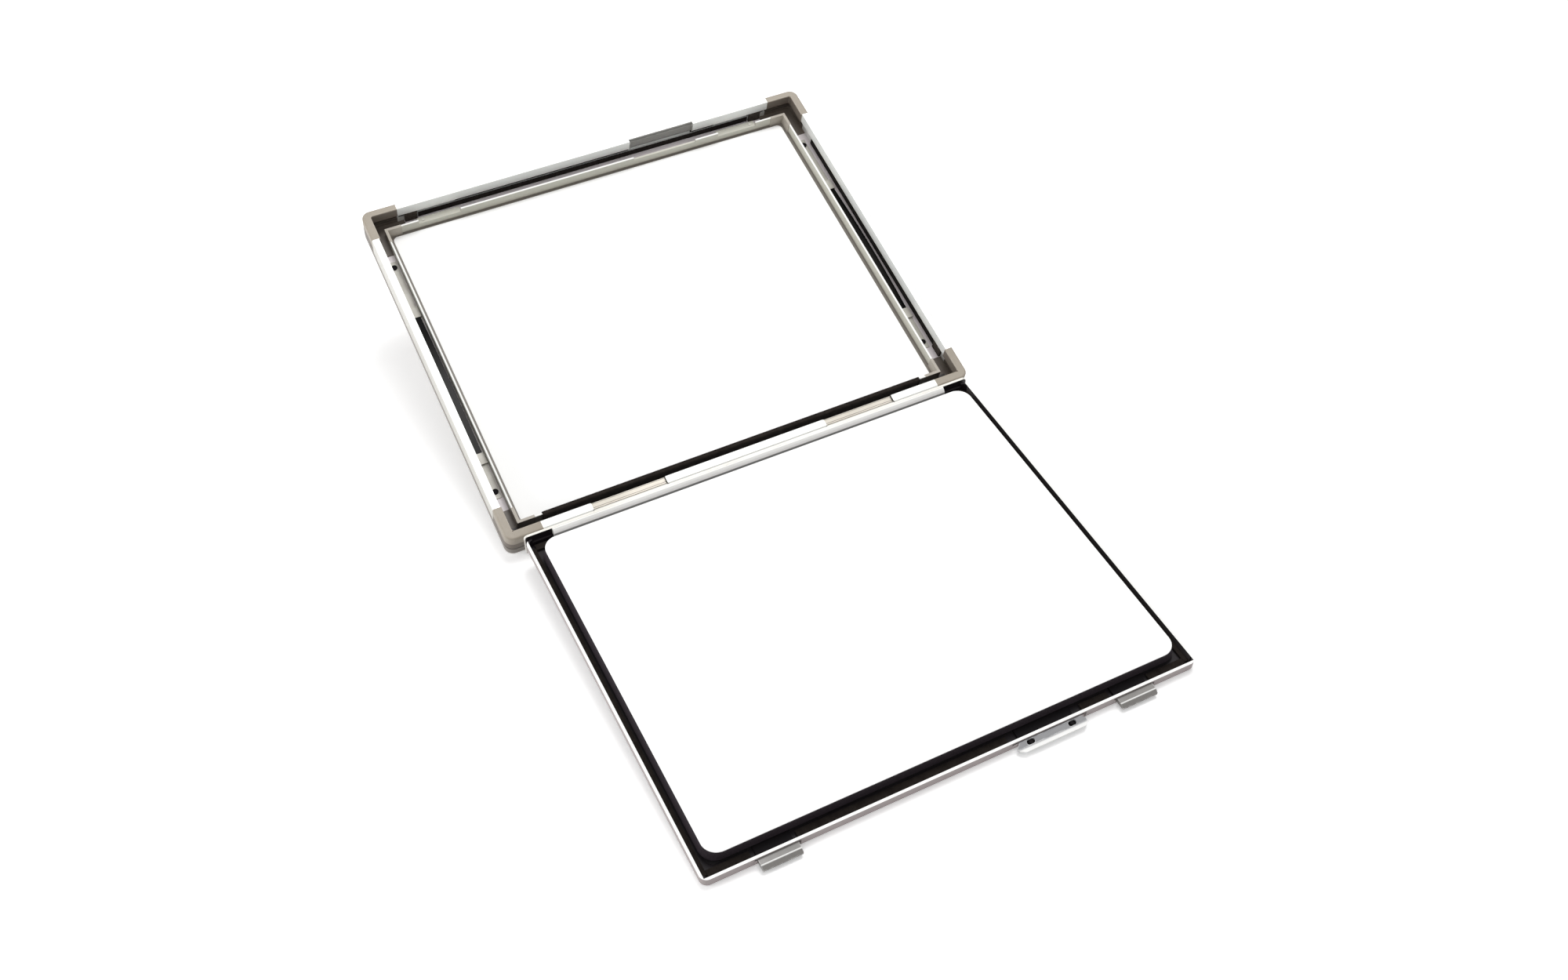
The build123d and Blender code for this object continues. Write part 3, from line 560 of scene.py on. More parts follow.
class Finishes(Enum):
    """Every finish on the cassette."""

    CORNER = Finish("corner_moulding", (0.335, 0.295, 0.24), (0.27, 0.235, 0.19), "corner_plastic",
                    22.0, 0.7, (0.42, 0.58), bump=0.00004, edge_colour=(0.60, 0.56, 0.50), edge_amount=0.5,
                    # Painted shade: the moulding darker below its top block.
                    zones=(Zone(Body.FRAME, (-WIDE, -WIDE, -2.0), (WIDE, 2 * WIDE, 10.2), (0.10, 0.08, 0.065), 0.4, 0.85),
                           # Painted shade on the inner faces round the opening.
                           Zone(Body.FRAME, (-136.3, 5.1, 0.0), (136.3, 226.4, 15.6), (0.11, 0.09, 0.075), 0.2, 0.85),
                           Zone(Body.FRAME, (-134.6, 4.9, 0.0), (134.6, 13.0, 10.4), BLACK_LINING_AND_SHADE, 0.3, 0.92),
                           # Painted shade: a dark line round the outer side, painted rather than shaped.
                           Zone(Body.FRAME, (-WIDE, -WIDE, 5.2), (WIDE, 2 * WIDE, 5.8), BLACK_LINING_AND_SHADE, 0.15, 0.75)))
    # The rail metals are lighter copies of the pocket's aluminium: painted light, so that faces the lamps leave dim
    # read light; the side rails' copy is the lightest.
    RAIL_X = Finish("rail_metal_along_hinge", (0.80, 0.81, 0.79), (0.70, 0.71, 0.69), "aluminium_profile",
                    25.0, 0.6, (0.36, 0.48), 0.3, ALONG_X, 0.10, 0.000012, edge_colour=(0.9, 0.9, 0.9), edge_amount=0.6,
                    zones=recess_shade_zones())
    RAIL_Y = Finish("rail_metal_along_side", (0.86, 0.87, 0.85), (0.76, 0.77, 0.75), "aluminium_profile",
                    25.0, 0.6, (0.36, 0.48), 0.3, ALONG_Y, 0.10, 0.000012, edge_colour=(0.9, 0.9, 0.9), edge_amount=0.6,
                    # Painted shade on the left rail's outer face only.
                    zones=(Zone(Body.FRAME, (-142.0, -WIDE, -2.0), (-140.75, 2 * WIDE, 15.9), (0.56, 0.545, 0.50), 0.1, 0.9),
                           # Painted shade: two dark lines along that face, painted rather than shaped.
                           Zone(Body.FRAME, (-142.0, -WIDE, 9.9), (-140.75, 2 * WIDE, 10.3), BLACK_LINING_AND_SHADE, 0.15, 0.6),
                           Zone(Body.FRAME, (-142.0, -WIDE, 5.7), (-140.75, 2 * WIDE, 6.2), BLACK_LINING_AND_SHADE, 0.15, 0.6)))
    # A near-white copy of the hinge profile's metal (LEAF): painted light on the shoulder's slope, which faces away
    # from the lamps.
    SHOULDER = Finish("shoulder_metal", (0.93, 0.925, 0.90), (0.86, 0.85, 0.82), "aluminium_profile",
                      60.0, 0.5, (0.4, 0.5), 0.0, ALONG_X, 0.06, 0.00001)
    LEAF = Finish("hinge_profile_metal", (0.74, 0.725, 0.69), (0.60, 0.58, 0.52), "aluminium_profile",
                  60.0, 0.6, (0.34, 0.48), 0.3, ALONG_X, 0.10, 0.000012,
                  zones=(Zone(Body.BACK, (-133.0, 7.1, 2.6), (-118.2, 9.0, 11.0), BLACK_LINING_AND_SHADE),
                         Zone(Body.BACK, (118.2, 7.1, 2.6), (133.0, 9.0, 11.0), BLACK_LINING_AND_SHADE)))
    RIM = Finish("rim_plastic", (0.52, 0.51, 0.44), (0.44, 0.43, 0.37), "rim_plastic",
                 28.0, 0.6, (0.35, 0.5), bump=0.00002,
                 # Painted highlight along the rim's top.
                 zones=(Zone(Body.FRAME, (-WIDE, -WIDE, 8.15), (WIDE, 2 * WIDE, 9.0), PAINTED_HIGHLIGHT, 0.15, 0.9),
                        Zone(Body.FRAME, (-WIDE, 8.0, 0.0), (WIDE, 13.1, 8.2), BLACK_LINING_AND_SHADE, 0.2, 0.9),
                        # Painted shade: the rim darker at its foot.
                        Zone(Body.FRAME, (-WIDE, -WIDE, 0.0), (WIDE, 2 * WIDE, 2.5), (0.16, 0.14, 0.12), 0.4, 0.8)))
    POCKET = Finish("pocket_metal", (0.64, 0.65, 0.63), (0.54, 0.55, 0.53), "aluminium_profile",
                    40.0, 0.6, (0.4, 0.5), 0.3, ALONG_X, 0.08, 0.00001,
                    zones=pocket_shade_zones())
    RIM_CORNER = Finish("rim_corner_plastic", (0.42, 0.385, 0.33), (0.34, 0.31, 0.265), "rim_plastic",
                        60.0, 0.7, (0.4, 0.55), bump=0.00003,
                        zones=(Zone(Body.FRAME, (-WIDE, 8.0, 0.0), (WIDE, 13.1, 8.2), BLACK_LINING_AND_SHADE, 0.2, 0.9),))
    SCREEN = Finish("screen_coating", (0.93, 0.93, 0.925), (0.91, 0.91, 0.905), "screen",
                    9.0, 0.35, (0.45, 0.6), bump=0.000006)
    PANEL = Finish("panel_paint", (0.50, 0.47, 0.44), (0.44, 0.41, 0.38), "painted_panel",
                   14.0, 0.5, (0.4, 0.5), bump=0.00002,
                   # Painted shade: the panel darker low down, on its skirt.
                   zones=(Zone(Body.FRAME, (-WIDE, -WIDE, 0.7), (WIDE, 2 * WIDE, 6.0), (0.17, 0.15, 0.13), 0.3, 0.9),))
    PAN = Finish("pan_paint", (0.38, 0.335, 0.332), (0.32, 0.282, 0.279), "painted_panel",
                 18.0, 0.5, (0.4, 0.55), bump=0.00002, specular=0.2,
                 # Painted highlight on the top of the pan's wall.
                 zones=(Zone(Body.BACK, (-WIDE, -WIDE, 5.5), (WIDE, 2 * WIDE, 6.15), PAINTED_HIGHLIGHT, 0.1),
                        Zone(Body.BACK, (-132.18, 7.1, 5.0), (132.18, 224.26, 10.9), BLACK_LINING_AND_SHADE)))
    FASTENER = Finish("fastener_steel", (0.55, 0.54, 0.50), (0.36, 0.34, 0.30), "steel_fasteners",
                      400.0, 0.6, (0.3, 0.45), 1.0)
    SPRING = Finish("leaf_spring_black", (0.004, 0.004, 0.004), (0.02, 0.016, 0.012), "spring_steel",
                    40.0, 0.3, (0.12, 0.20), 0.0, ALONG_Y, 0.04, specular=0.08)
    SEAT = Finish("spring_seat_metal", (0.56, 0.54, 0.49), (0.46, 0.44, 0.39), "spring_seat",
                  90.0, 0.7, (0.4, 0.55), 0.1, ALONG_Y, 0.08)
    FELT = Finish("black_felt", (0.012, 0.009, 0.008), (0.035, 0.029, 0.025), "black_felt",
                  240.0, 0.6, (0.9, 1.0), bump=0.0002, sheen=0.03, specular=0.08)
    LINT = Finish("felt_fibre", (0.06, 0.05, 0.045), (0.16, 0.14, 0.12), "black_felt",
                  300.0, 0.8, (0.8, 0.95))
    FOAM = Finish("pad_foam", (0.022, 0.016, 0.021), (0.045, 0.035, 0.042), "foam",
                  900.0, 0.6, (0.65, 0.8), bump=0.00006, sheen=0.03, specular=0.12)
    PLUG = Finish("plug_foam", (0.035, 0.028, 0.023), (0.08, 0.066, 0.053), "foam",
                  900.0, 0.7, (0.85, 1.0), bump=0.00012, sheen=0.05, specular=0.1)
    LINER = Finish("channel_strip", (0.86, 0.80, 0.82), (0.76, 0.70, 0.71), "channel_plastic",
                   45.0, 0.7, (0.4, 0.55), bump=0.00002)
    INSERT = Finish("dark_moulding", (0.24, 0.235, 0.22), (0.19, 0.185, 0.175), "dark_plastic",
                    60.0, 0.6, (0.35, 0.5), bump=0.00002, edge_colour=(0.4, 0.4, 0.38), edge_amount=0.5)
    LEAD = Finish("lead_foil", (0.014, 0.012, 0.013), (0.03, 0.028, 0.03), "lead",
                  40.0, 0.6, (0.6, 0.75), specular=0.1)
    PLATE = Finish("plate_steel", (0.03, 0.028, 0.03), (0.05, 0.046, 0.05), "steel_plate",
                   30.0, 0.5, (0.45, 0.6), 0.1, ALONG_X, 0.08, specular=0.15)
    BAR = Finish("blackened_steel", (0.008, 0.007, 0.008), (0.015, 0.013, 0.014), "black_steel",
                 120.0, 0.6, (0.6, 0.75), specular=0.05)
    BOLT = Finish("bolt_moulding", (0.20, 0.19, 0.18), (0.15, 0.145, 0.135), "bolt_plastic",
                  50.0, 0.6, (0.35, 0.5), bump=0.00002, edge_colour=(0.75, 0.75, 0.73), edge_amount=0.8,
                  # Painted highlight along the bolt's ridge.
                  zones=(Zone(Body.BACK, (-WIDE, 228.8, 6.5), (WIDE, 229.4, 7.6), PAINTED_HIGHLIGHT, 0.12, 0.75),))
    # The tab's metal is darkened for painted shade, and its outer lip carries a painted highlight.
    TAB = Finish("tab_metal", (0.33, 0.33, 0.34), (0.25, 0.25, 0.26), "aluminium_profile",
                 90.0, 0.6, (0.34, 0.46), 0.2, ALONG_X, 0.08, 0.00001, edge_colour=(0.95, 0.95, 0.95), edge_amount=0.8,
                 zones=(Zone(Body.BACK, (-WIDE, 229.4, 0.0), (WIDE, 240.0, 20.0), PAINTED_HIGHLIGHT, 0.5, 0.75),))


# ---------------------------------------------------------------- mesh helpers


def finish_object(name: str, mesh: bmesh.types.BMesh, material: bpy.types.Material) -> bpy.types.Object:
    """Turn a bmesh into a linked object at the origin.

    Args:
        name: name of the piece.
        mesh: the bmesh, in metres, in the row frame. It is freed.
        material: the piece's material.

    Returns:
        The new object.
    """
    bmesh.ops.recalc_face_normals(mesh, faces=mesh.faces)
    data = bpy.data.meshes.new(name)
    mesh.to_mesh(data)
    mesh.free()
    data.materials.append(material)
    piece = bpy.data.objects.new(name, data)
    bpy.context.scene.collection.objects.link(piece)
    return piece


def soften(profile: list[tuple[float, float]], cut: float, pitch: float) -> list[tuple[float, float]]:
    """Break the corners of a profile and divide its long sides.

    Args:
        profile: closed outline in millimetres.
        cut: how much is taken off at each side of a corner.
        pitch: longest side that stays undivided.

    Returns:
        The finer outline.
    """
    outline: list[tuple[float, float]] = []
    for index, corner in enumerate(profile):
        here, before, after = (Vector(point) for point in (corner, profile[index - 1],
                                                           profile[(index + 1) % len(profile)]))
        for other in (before, after):
            away = other - here
            outline.append(tuple(here + away.normalized() * min(cut, away.length * 0.4)))
    fine: list[tuple[float, float]] = []
    for index, point in enumerate(outline):
        here, after = Vector(point), Vector(outline[(index + 1) % len(outline)])
        parts = max(1, round((after - here).length / pitch))
        fine.extend(tuple(here.lerp(after, step / parts)) for step in range(parts))
    return fine


@dataclass
class Strip:
    """A strip of one section, in the closed cassette's millimetres.

    Attributes:
        body: the body it belongs to.
        axis: direction it runs in, X or Y.
        profile: its section across that direction.
        start: where it starts.
        end: where it ends.
        pitch: length of its facets.
        cut: how much its corners are broken.
        fuzz: how uneven its surface is.
    """

    body: Body
    axis: str
    profile: list[tuple[float, float]]
    start: float
    end: float
    pitch: float = 1.6
    cut: float = 0.12
    fuzz: float = 0.0

    def add_to(self, mesh: bmesh.types.BMesh) -> None:
        """Add the strip to a bmesh.

        Args:
            mesh: the bmesh, in metres, in the row frame.
        """
        outline = soften(self.profile, self.cut, self.pitch)
        count = max(1, round((self.end - self.start) / (self.pitch if self.fuzz else 40.0)))
        place = Standing().matrix(self.body)
        rings = []
        for step in range(count + 1):
            run = self.start + (self.end - self.start) * step / count
            ring = []
            for across, height in outline:
                point = Vector((run, across, height) if self.axis == "X" else (across, run, height))
                point += self.fuzz * noise.noise_vector(point * 0.9)
                ring.append(mesh.verts.new(place @ point))
            rings.append(ring)
        for first, second in zip(rings, rings[1:]):
            for index, corner in enumerate(first):
                after = (index + 1) % len(first)
                mesh.faces.new((corner, first[after], second[after], second[index]))
        mesh.faces.new(rings[0])
        mesh.faces.new(rings[-1])


def strips_object(name: str, strips: list[Strip], material: bpy.types.Material) -> bpy.types.Object:
    """Make one piece of several strips.

    Args:
        name: the piece's name.
        strips: its strips.
        material: its material.

    Returns:
        The new object.
    """
    mesh = bmesh.new()
    for strip in strips:
        strip.add_to(mesh)
    return finish_object(name, mesh, material)


def rectangle(a0: float, a1: float, b0: float, b1: float) -> list[tuple[float, float]]:
    """The outline of a rectangle."""
    return [(a0, b0), (a1, b0), (a1, b1), (a0, b1)]


def mirrored(strip: Strip) -> Strip:
    """A strip that runs along Y, on the other side of the cassette."""
    return replace(strip, profile=[(-across, height) for across, height in strip.profile])


def install(piece: bpy.types.Object, body: Body, nodes: tuple[str, ...] = ()) -> None:
    """Put a finished piece on its body.

    Args:
        piece: the piece.
        body: the body that it rides on.
        nodes: the nodes that it stands for.
    """
    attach(piece, body.value)
    if nodes:
        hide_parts(*nodes)
    log.info("%s: made, %d faces", piece.name, len(piece.data.polygons))


# ---------------------------------------------------------------- sub-assemblies


@dataclass
class Lint:
    """Short loose fibres that stand on felt.

    Attributes:
        density: fibres to a square metre.
        length: length of a fibre in metres.
        thickness: radius of a fibre in metres.
        seed: seed of the scatter.
    """

    density: float = 300000.0
    length: float = 0.0004
    thickness: float = 0.00005
    seed: int = 11

    def tree(self, material: bpy.types.Material) -> bpy.types.NodeTree:
        """Build the tree that scatters the fibres.

        Args:
            material: the fibres' material.

        Returns:
            The geometry tree.
        """
        group = bpy.data.node_groups.new("lint_fibres", "GeometryNodeTree")
        sockets = {}
        group.interface.new_socket("Geometry", in_out="INPUT", socket_type="NodeSocketGeometry")
        for label, value in (("Density", self.density), ("Length", self.length), ("Thickness", self.thickness)):
            socket = group.interface.new_socket(label, in_out="INPUT", socket_type="NodeSocketFloat")
            socket.default_value = value
            sockets[label] = socket.identifier
        seed = group.interface.new_socket("Seed", in_out="INPUT", socket_type="NodeSocketInt")
        seed.default_value = self.seed
        group.interface.new_socket("Geometry", in_out="OUTPUT", socket_type="NodeSocketGeometry")
        build = Tree(group)
        given, result = build.add("NodeGroupInput"), build.add("NodeGroupOutput")
        scatter = build.add("GeometryNodeDistributePointsOnFaces")
        build.link(given.outputs["Geometry"], scatter.inputs["Mesh"])
        build.link(given.outputs["Density"], scatter.inputs["Density"])
        build.link(given.outputs["Seed"], scatter.inputs["Seed"])
        fibre = build.add("GeometryNodeMeshCone")
        fibre.inputs["Vertices"].default_value = 3
        build.link(given.outputs["Thickness"], fibre.inputs["Radius Bottom"])
        build.link(given.outputs["Length"], fibre.inputs["Depth"])
        lean = build.add("FunctionNodeRandomValue", data_type="FLOAT_VECTOR")
        lean.inputs["Min"].default_value = (-1.1, -1.1, -3.1)
        lean.inputs["Max"].default_value = (1.1, 1.1, 3.1)
        build.link(given.outputs["Seed"], lean.inputs["Seed"])
        turn = build.add("FunctionNodeRotateRotation", rotation_space="LOCAL")
        build.link(scatter.outputs["Rotation"], turn.inputs[0])
        build.link(lean.outputs["Value"], turn.inputs[1])
        place = build.add("GeometryNodeInstanceOnPoints")
        build.link(scatter.outputs["Points"], place.inputs["Points"])
        build.link(fibre.outputs["Mesh"], place.inputs["Instance"])
        build.link(turn.outputs[0], place.inputs["Rotation"])
        real = build.add("GeometryNodeRealizeInstances")
        build.link(place.outputs[0], real.inputs[0])
        dress = build.add("GeometryNodeSetMaterial")
        dress.inputs["Material"].default_value = material
        build.link(real.outputs[0], dress.inputs["Geometry"])
        build.link(dress.outputs[0], result.inputs[0])
        return group

    def make(self, name: str, felt: bpy.types.Object, material: bpy.types.Material) -> bpy.types.Object:
        """Scatter the fibres on a felt.

        Args:
            name: name of the new piece.
            felt: the felt that they stand on.
            material: their material.

        Returns:
            The fibres as a plain mesh.
        """
        carrier = felt.copy()
        carrier.data = felt.data.copy()
        bpy.context.scene.collection.objects.link(carrier)
        modifier = carrier.modifiers.new("lint", "NODES")
        modifier.node_group = self.tree(material)
        evaluated = carrier.evaluated_get(bpy.context.evaluated_depsgraph_get())
        data = bpy.data.meshes.new_from_object(evaluated)
        bpy.data.objects.remove(carrier)
        data.name = name
        piece = bpy.data.objects.new(name, data)
        bpy.context.scene.collection.objects.link(piece)
        return piece


@dataclass
class FilmFrame:
    """The frame with its film well, channel and rails.

    Attributes:
        finishes: which finish goes on which node.
        length: the frame's length from hinge to latch side.
        felt_reach: half length of the hinge felt.
        windows: centre and width of each latch window.
    """

    finishes: dict[Finishes, tuple[str, ...]] = field(default_factory=lambda: {
        Finishes.CORNER: ("corner_hinge_left", "corner_hinge_right", "corner_latch_left", "corner_latch_right"),
        Finishes.RAIL_X: ("rail_latch_side", "rail_hinge_side"),
        Finishes.RAIL_Y: ("rail_left", "rail_right"),
        Finishes.RIM: ("rim_left", "rim_right", "rim_hinge_side", "rim_latch_side"),
        Finishes.RIM_CORNER: ("rim_corners",),
        Finishes.SCREEN: ("front_screen",),
        Finishes.PANEL: ("front_panel",),
        Finishes.FASTENER: ("strike_rivets", "hinge_pin"),
        Finishes.BAR: ("spring_rivets",),
        Finishes.SPRING: ("kick_spring_left", "kick_spring_right"),
        Finishes.SEAT: ("spring_carrier_left", "spring_carrier_right", "spring_clips"),
        Finishes.LINER: ("channel_liners",),
        Finishes.INSERT: ("notch_insert",),
    })
    length: float = 230.4
    felt_reach: float = 116.2
    windows: tuple[tuple[float, float], ...] = WINDOWS

    def between_windows(self, low: float, high: float) -> list[tuple[float, float]]:
        """The stretches from low to high that no latch window breaks."""
        stretches, start = [], low
        for center, width in self.windows:
            stretches.append((start, center - width / 2))
            start = center + width / 2
        return stretches + [(start, high)]

    def hinge_felt(self) -> list[Strip]:
        """Felt on the channel floor at the hinge, drawn up over the rim."""
        profile = [(2.55, 1.42), (12.06, 1.42), (12.06, 8.54), (13.34, 8.54), (13.34, 2.0), (13.7, 2.0),
                   (13.7, 8.72), (13.5, 8.92), (11.8, 8.92), (11.3, 8.45), (11.3, 2.3), (2.55, 2.3)]
        return [Strip(Body.FRAME, "X", profile, -self.felt_reach, self.felt_reach, 1.2, 0.08, 0.05)]

    def felt_ridge(self) -> list[Strip]:
        """The narrow top of the hinge felt, where loose fibres stand."""
        return [Strip(Body.FRAME, "X", rectangle(12.1, 13.1, 8.6, 8.8), -self.felt_reach, self.felt_reach)]

    def groove_felts(self) -> list[Strip]:
        """Felts under the lips and on the tongues below them."""
        side = [Strip(Body.FRAME, "Y", rectangle(138.95, 139.65, 6.4, 9.95), 21.8, 208.6, fuzz=0.04),
                Strip(Body.FRAME, "Y", rectangle(138.12, 138.46, 2.34, 6.3), 33.2, 197.2, fuzz=0.04)]
        far = [Strip(Body.FRAME, "X", rectangle(228.35, 229.05, 6.4, 9.95), low + 0.1, high - 0.1, fuzz=0.04)
               for low, high in self.between_windows(-119.3, 119.3)]
        low_far = Strip(Body.FRAME, "X", rectangle(227.52, 227.86, 2.34, 6.3), -107.8, 107.8, fuzz=0.04)
        return side + [mirrored(strip) for strip in side] + far + [low_far]

    def plugs(self) -> list[Strip]:
        """Foam plugs beside the feet of the corners."""
        side = Strip(Body.FRAME, "Y", rectangle(137.05, 138.45, 2.35, 9.95), 24.9, 32.7, 1.0, 0.3, 0.12)
        far = [Strip(Body.FRAME, "X", rectangle(226.25, 227.85, 2.35, 9.95), low, low + 7.5, 1.0, 0.3, 0.12)
               for low in (-116.1, 108.6)]
        return [side, mirrored(side)] + far

    def pockets(self) -> list[Strip]:
        """Closed pockets behind the three latch windows."""
        face, inner, outer = self.length + 0.02, self.length + 1.4, self.length + 2.0
        channel = [(face, 6.25), (outer, 6.25), (outer, 10.6), (face, 10.6), (face, 10.0), (inner, 10.0),
                   (inner, 6.85), (face, 6.85)]
        shells = []
        for center, width in self.windows:
            left, right = center - width / 2, center + width / 2
            shells.append(Strip(Body.FRAME, "X", channel, left, right))
            for low in (left - 0.6, right):
                shells.append(Strip(Body.FRAME, "X", rectangle(face, outer, 6.25, 10.6), low, low + 0.6))
        return shells

    def make(self, dresser: "Dresser") -> None:
        """Make the pieces that the solids leave plain.

        Args:
            dresser: gives the materials.
        """
        felt = strips_object("hinge_felt", self.hinge_felt(), dresser.material(Finishes.FELT))
        ridge = strips_object("felt_ridge", self.felt_ridge(), dresser.material(Finishes.FELT))
        lint = Lint().make("felt_lint", ridge, dresser.material(Finishes.LINT))
        bpy.data.objects.remove(ridge)
        install(felt, Body.FRAME, ("hinge_light_seal",))
        install(lint, Body.FRAME)
        felts = strips_object("groove_felts", self.groove_felts(), dresser.material(Finishes.FELT))
        install(felts, Body.FRAME, ("rail_felts",))
        plugs = strips_object("foam_plugs", self.plugs(), dresser.material(Finishes.PLUG))
        install(plugs, Body.FRAME, ("groove_plugs",))
        pockets = strips_object("latch_pockets", self.pockets(), dresser.material(Finishes.POCKET))
        install(pockets, Body.FRAME)


@dataclass
class PaddedBack:
    """The hinged back with its pad stack.

    Attributes:
        finishes: which finish goes on which node.
        pad_half: half width of the pad at the screen, in millimetres.
        pad_start: hinge-side end of the pad.
        pad_end: latch-side end of the pad.
        pad_front: height of the pad's screen side in the closed cassette.
        pad_foot: height of its foot.
        side_slope: how much wider it is at its foot.
        end_slope: how much longer it is at its foot.
        corner: corner radius at the screen.
        seal_low: screen side of the border felt.
        seal_high: pan side of the border felt.
    """

    finishes: dict[Finishes, tuple[str, ...]] = field(default_factory=lambda: {
        Finishes.PAN: ("back_pan",),
        Finishes.LEAF: ("hinge_leaf",),
        Finishes.FASTENER: ("hinge_rivets", "guide_pins"),
        Finishes.LEAD: ("lead_foil",),
        Finishes.PLATE: ("pressure_plate",),
        Finishes.INSERT: ("plate_posts",),
        Finishes.SCREEN: ("back_screen",),
    })
    pad_half: float = 127.0
    pad_start: float = 14.38
    pad_end: float = 217.58
    pad_front: float = 2.7
    pad_foot: float = 8.1
    side_slope: float = 1.5
    end_slope: float = 0.5
    corner: float = 8.0
    seal_low: float = 9.38
    seal_high: float = 10.82

    def pad_ring(self, share: float) -> list[tuple[float, float]]:
        """Outline of the pad at a share of the way from the screen to its foot."""
        pinch = 0.22 * math.sin(math.pi * share)
        radius = self.corner + self.end_slope * share
        half_x = self.pad_half + self.side_slope * share - pinch
        half_y = (self.pad_end - self.pad_start) / 2 + self.end_slope * share - pinch
        middle = (self.pad_end + self.pad_start) / 2
        ring = []
        for quarter, (sx, sy) in enumerate(((1, 1), (-1, 1), (-1, -1), (1, -1))):
            for step in range(9):
                angle = math.radians(90 * quarter + 90 * step / 8)
                ring.append((sx * (half_x - radius) + radius * math.cos(angle),
                             middle + sy * (half_y - radius) + radius * math.sin(angle)))
        fine = []
        for index, point in enumerate(ring):
            here, after = Vector(point), Vector(ring[(index + 1) % len(ring)])
            parts = max(1, round((after - here).length / 2.5))
            fine.extend(tuple(here.lerp(after, part / parts)) for part in range(parts))
        return fine

    def pad(self, material: bpy.types.Material) -> bpy.types.Object:
        """The foam pad: sloped sides that pull in a little, with a cut-foam surface.

        Args:
            material: the foam's material.

        Returns:
            The pad.
        """
        mesh = bmesh.new()
        place = Standing().back_matrix()
        rings = []
        outlines = [self.pad_ring(level / 7) for level in range(8)]
        count = min(len(outline) for outline in outlines)
        for level, outline in enumerate(outlines):
            height = self.pad_front + (self.pad_foot - self.pad_front) * level / 7
            ring = []
            for across, along in outline[:count]:
                point = Vector((across, along, height))
                if 0 < level < 7:
                    point += 0.07 * noise.noise_vector(point * 0.8)
                ring.append(mesh.verts.new(place @ point))
            rings.append(ring)
        for first, second in zip(rings, rings[1:]):
            for index in range(count):
                after = (index + 1) % count
                mesh.faces.new((first[index], first[after], second[after], second[index]))
        mesh.faces.new(rings[0])
        mesh.faces.new(rings[-1])
        return finish_object("pad_cushion", mesh, material)

    def border_felts(self, stretches: list[tuple[float, float]]) -> list[Strip]:
        """Felt round the pad.

        Args:
            stretches: where the strip along the free edge isn't broken by the latch.

        Returns:
            The strips.
        """
        low, high = self.seal_low, self.seal_high
        side = Strip(Body.BACK, "Y", rectangle(129.35, 132.0, low, high), 11.8, 221.5, fuzz=0.05)
        hinge = Strip(Body.BACK, "X", rectangle(9.24, 13.02, low, high), -129.2, 129.2, fuzz=0.05)
        near = [Strip(Body.BACK, "X", rectangle(218.94, 224.08, low, high), start + 0.1, end - 0.1, fuzz=0.05)
                for start, end in stretches]
        return [side, mirrored(side), hinge] + near

    def shoulder(self) -> list[Strip]:
        """Stepped shoulder along the inner side of the hinge profile."""
        profile = [(7.29, 4.05), (7.88, 4.05), (8.88, 5.0), (9.73, 6.05), (9.73, 8.9), (7.29, 8.9)]
        return [Strip(Body.BACK, "X", profile, -118.0, 118.0, 8.0, 0.1)]

    def make(self, dresser: "Dresser", stretches: list[tuple[float, float]]) -> None:
        """Make the soft pieces and the shoulder.

        Args:
            dresser: gives the materials.
            stretches: where the free edge isn't broken by the latch.
        """
        pad = self.pad(dresser.material(Finishes.FOAM))
        install(pad, Body.BACK, ("foam_pad",))
        border = strips_object("border_felt", self.border_felts(stretches), dresser.material(Finishes.FELT))
        install(border, Body.BACK, ("border_seal",))
        shoulder = strips_object("leaf_shoulder", self.shoulder(), dresser.material(Finishes.SHOULDER))
        install(shoulder, Body.BACK)


@dataclass
class Latch:
    """The sliding latch.

    Attributes:
        finishes: which finish goes on which node.
    """

    finishes: dict[Finishes, tuple[str, ...]] = field(default_factory=lambda: {
        Finishes.BAR: ("latch_bar", "tab_studs"),
        Finishes.BOLT: ("bolt_left", "bolt_right"),
        Finishes.TAB: ("latch_tab",),
    })


class Dresser:
    """Puts finishes on CAD nodes and makes each material once."""

    def __init__(self, nodes: dict[str, bpy.types.Object]) -> None:
        """Keep the CAD nodes.

        Args:
            nodes: the CAD node objects by name.
        """
        self.nodes = nodes
        self.groups = EffectGroups()
        self.made: dict[Finishes, bpy.types.Material] = {}

    def material(self, finish: Finishes) -> bpy.types.Material:
        """The material of a finish, made at its first use.

        Args:
            finish: the finish.

        Returns:
            Its material.
        """
        if finish not in self.made:
            self.made[finish] = finish.value.build(self.groups)
        return self.made[finish]

    def dress(self, plan: dict[Finishes, tuple[str, ...]]) -> None:
        """Put each finish of a plan on its nodes.

        Args:
            plan: nodes by finish.
        """
        for finish, names in plan.items():
            for name in names:
                data = self.nodes[name].data
                data.materials.clear()
                data.materials.append(self.material(finish))
                log.info("%s: %s", name, finish.value.name)


# ---------------------------------------------------------------- studio


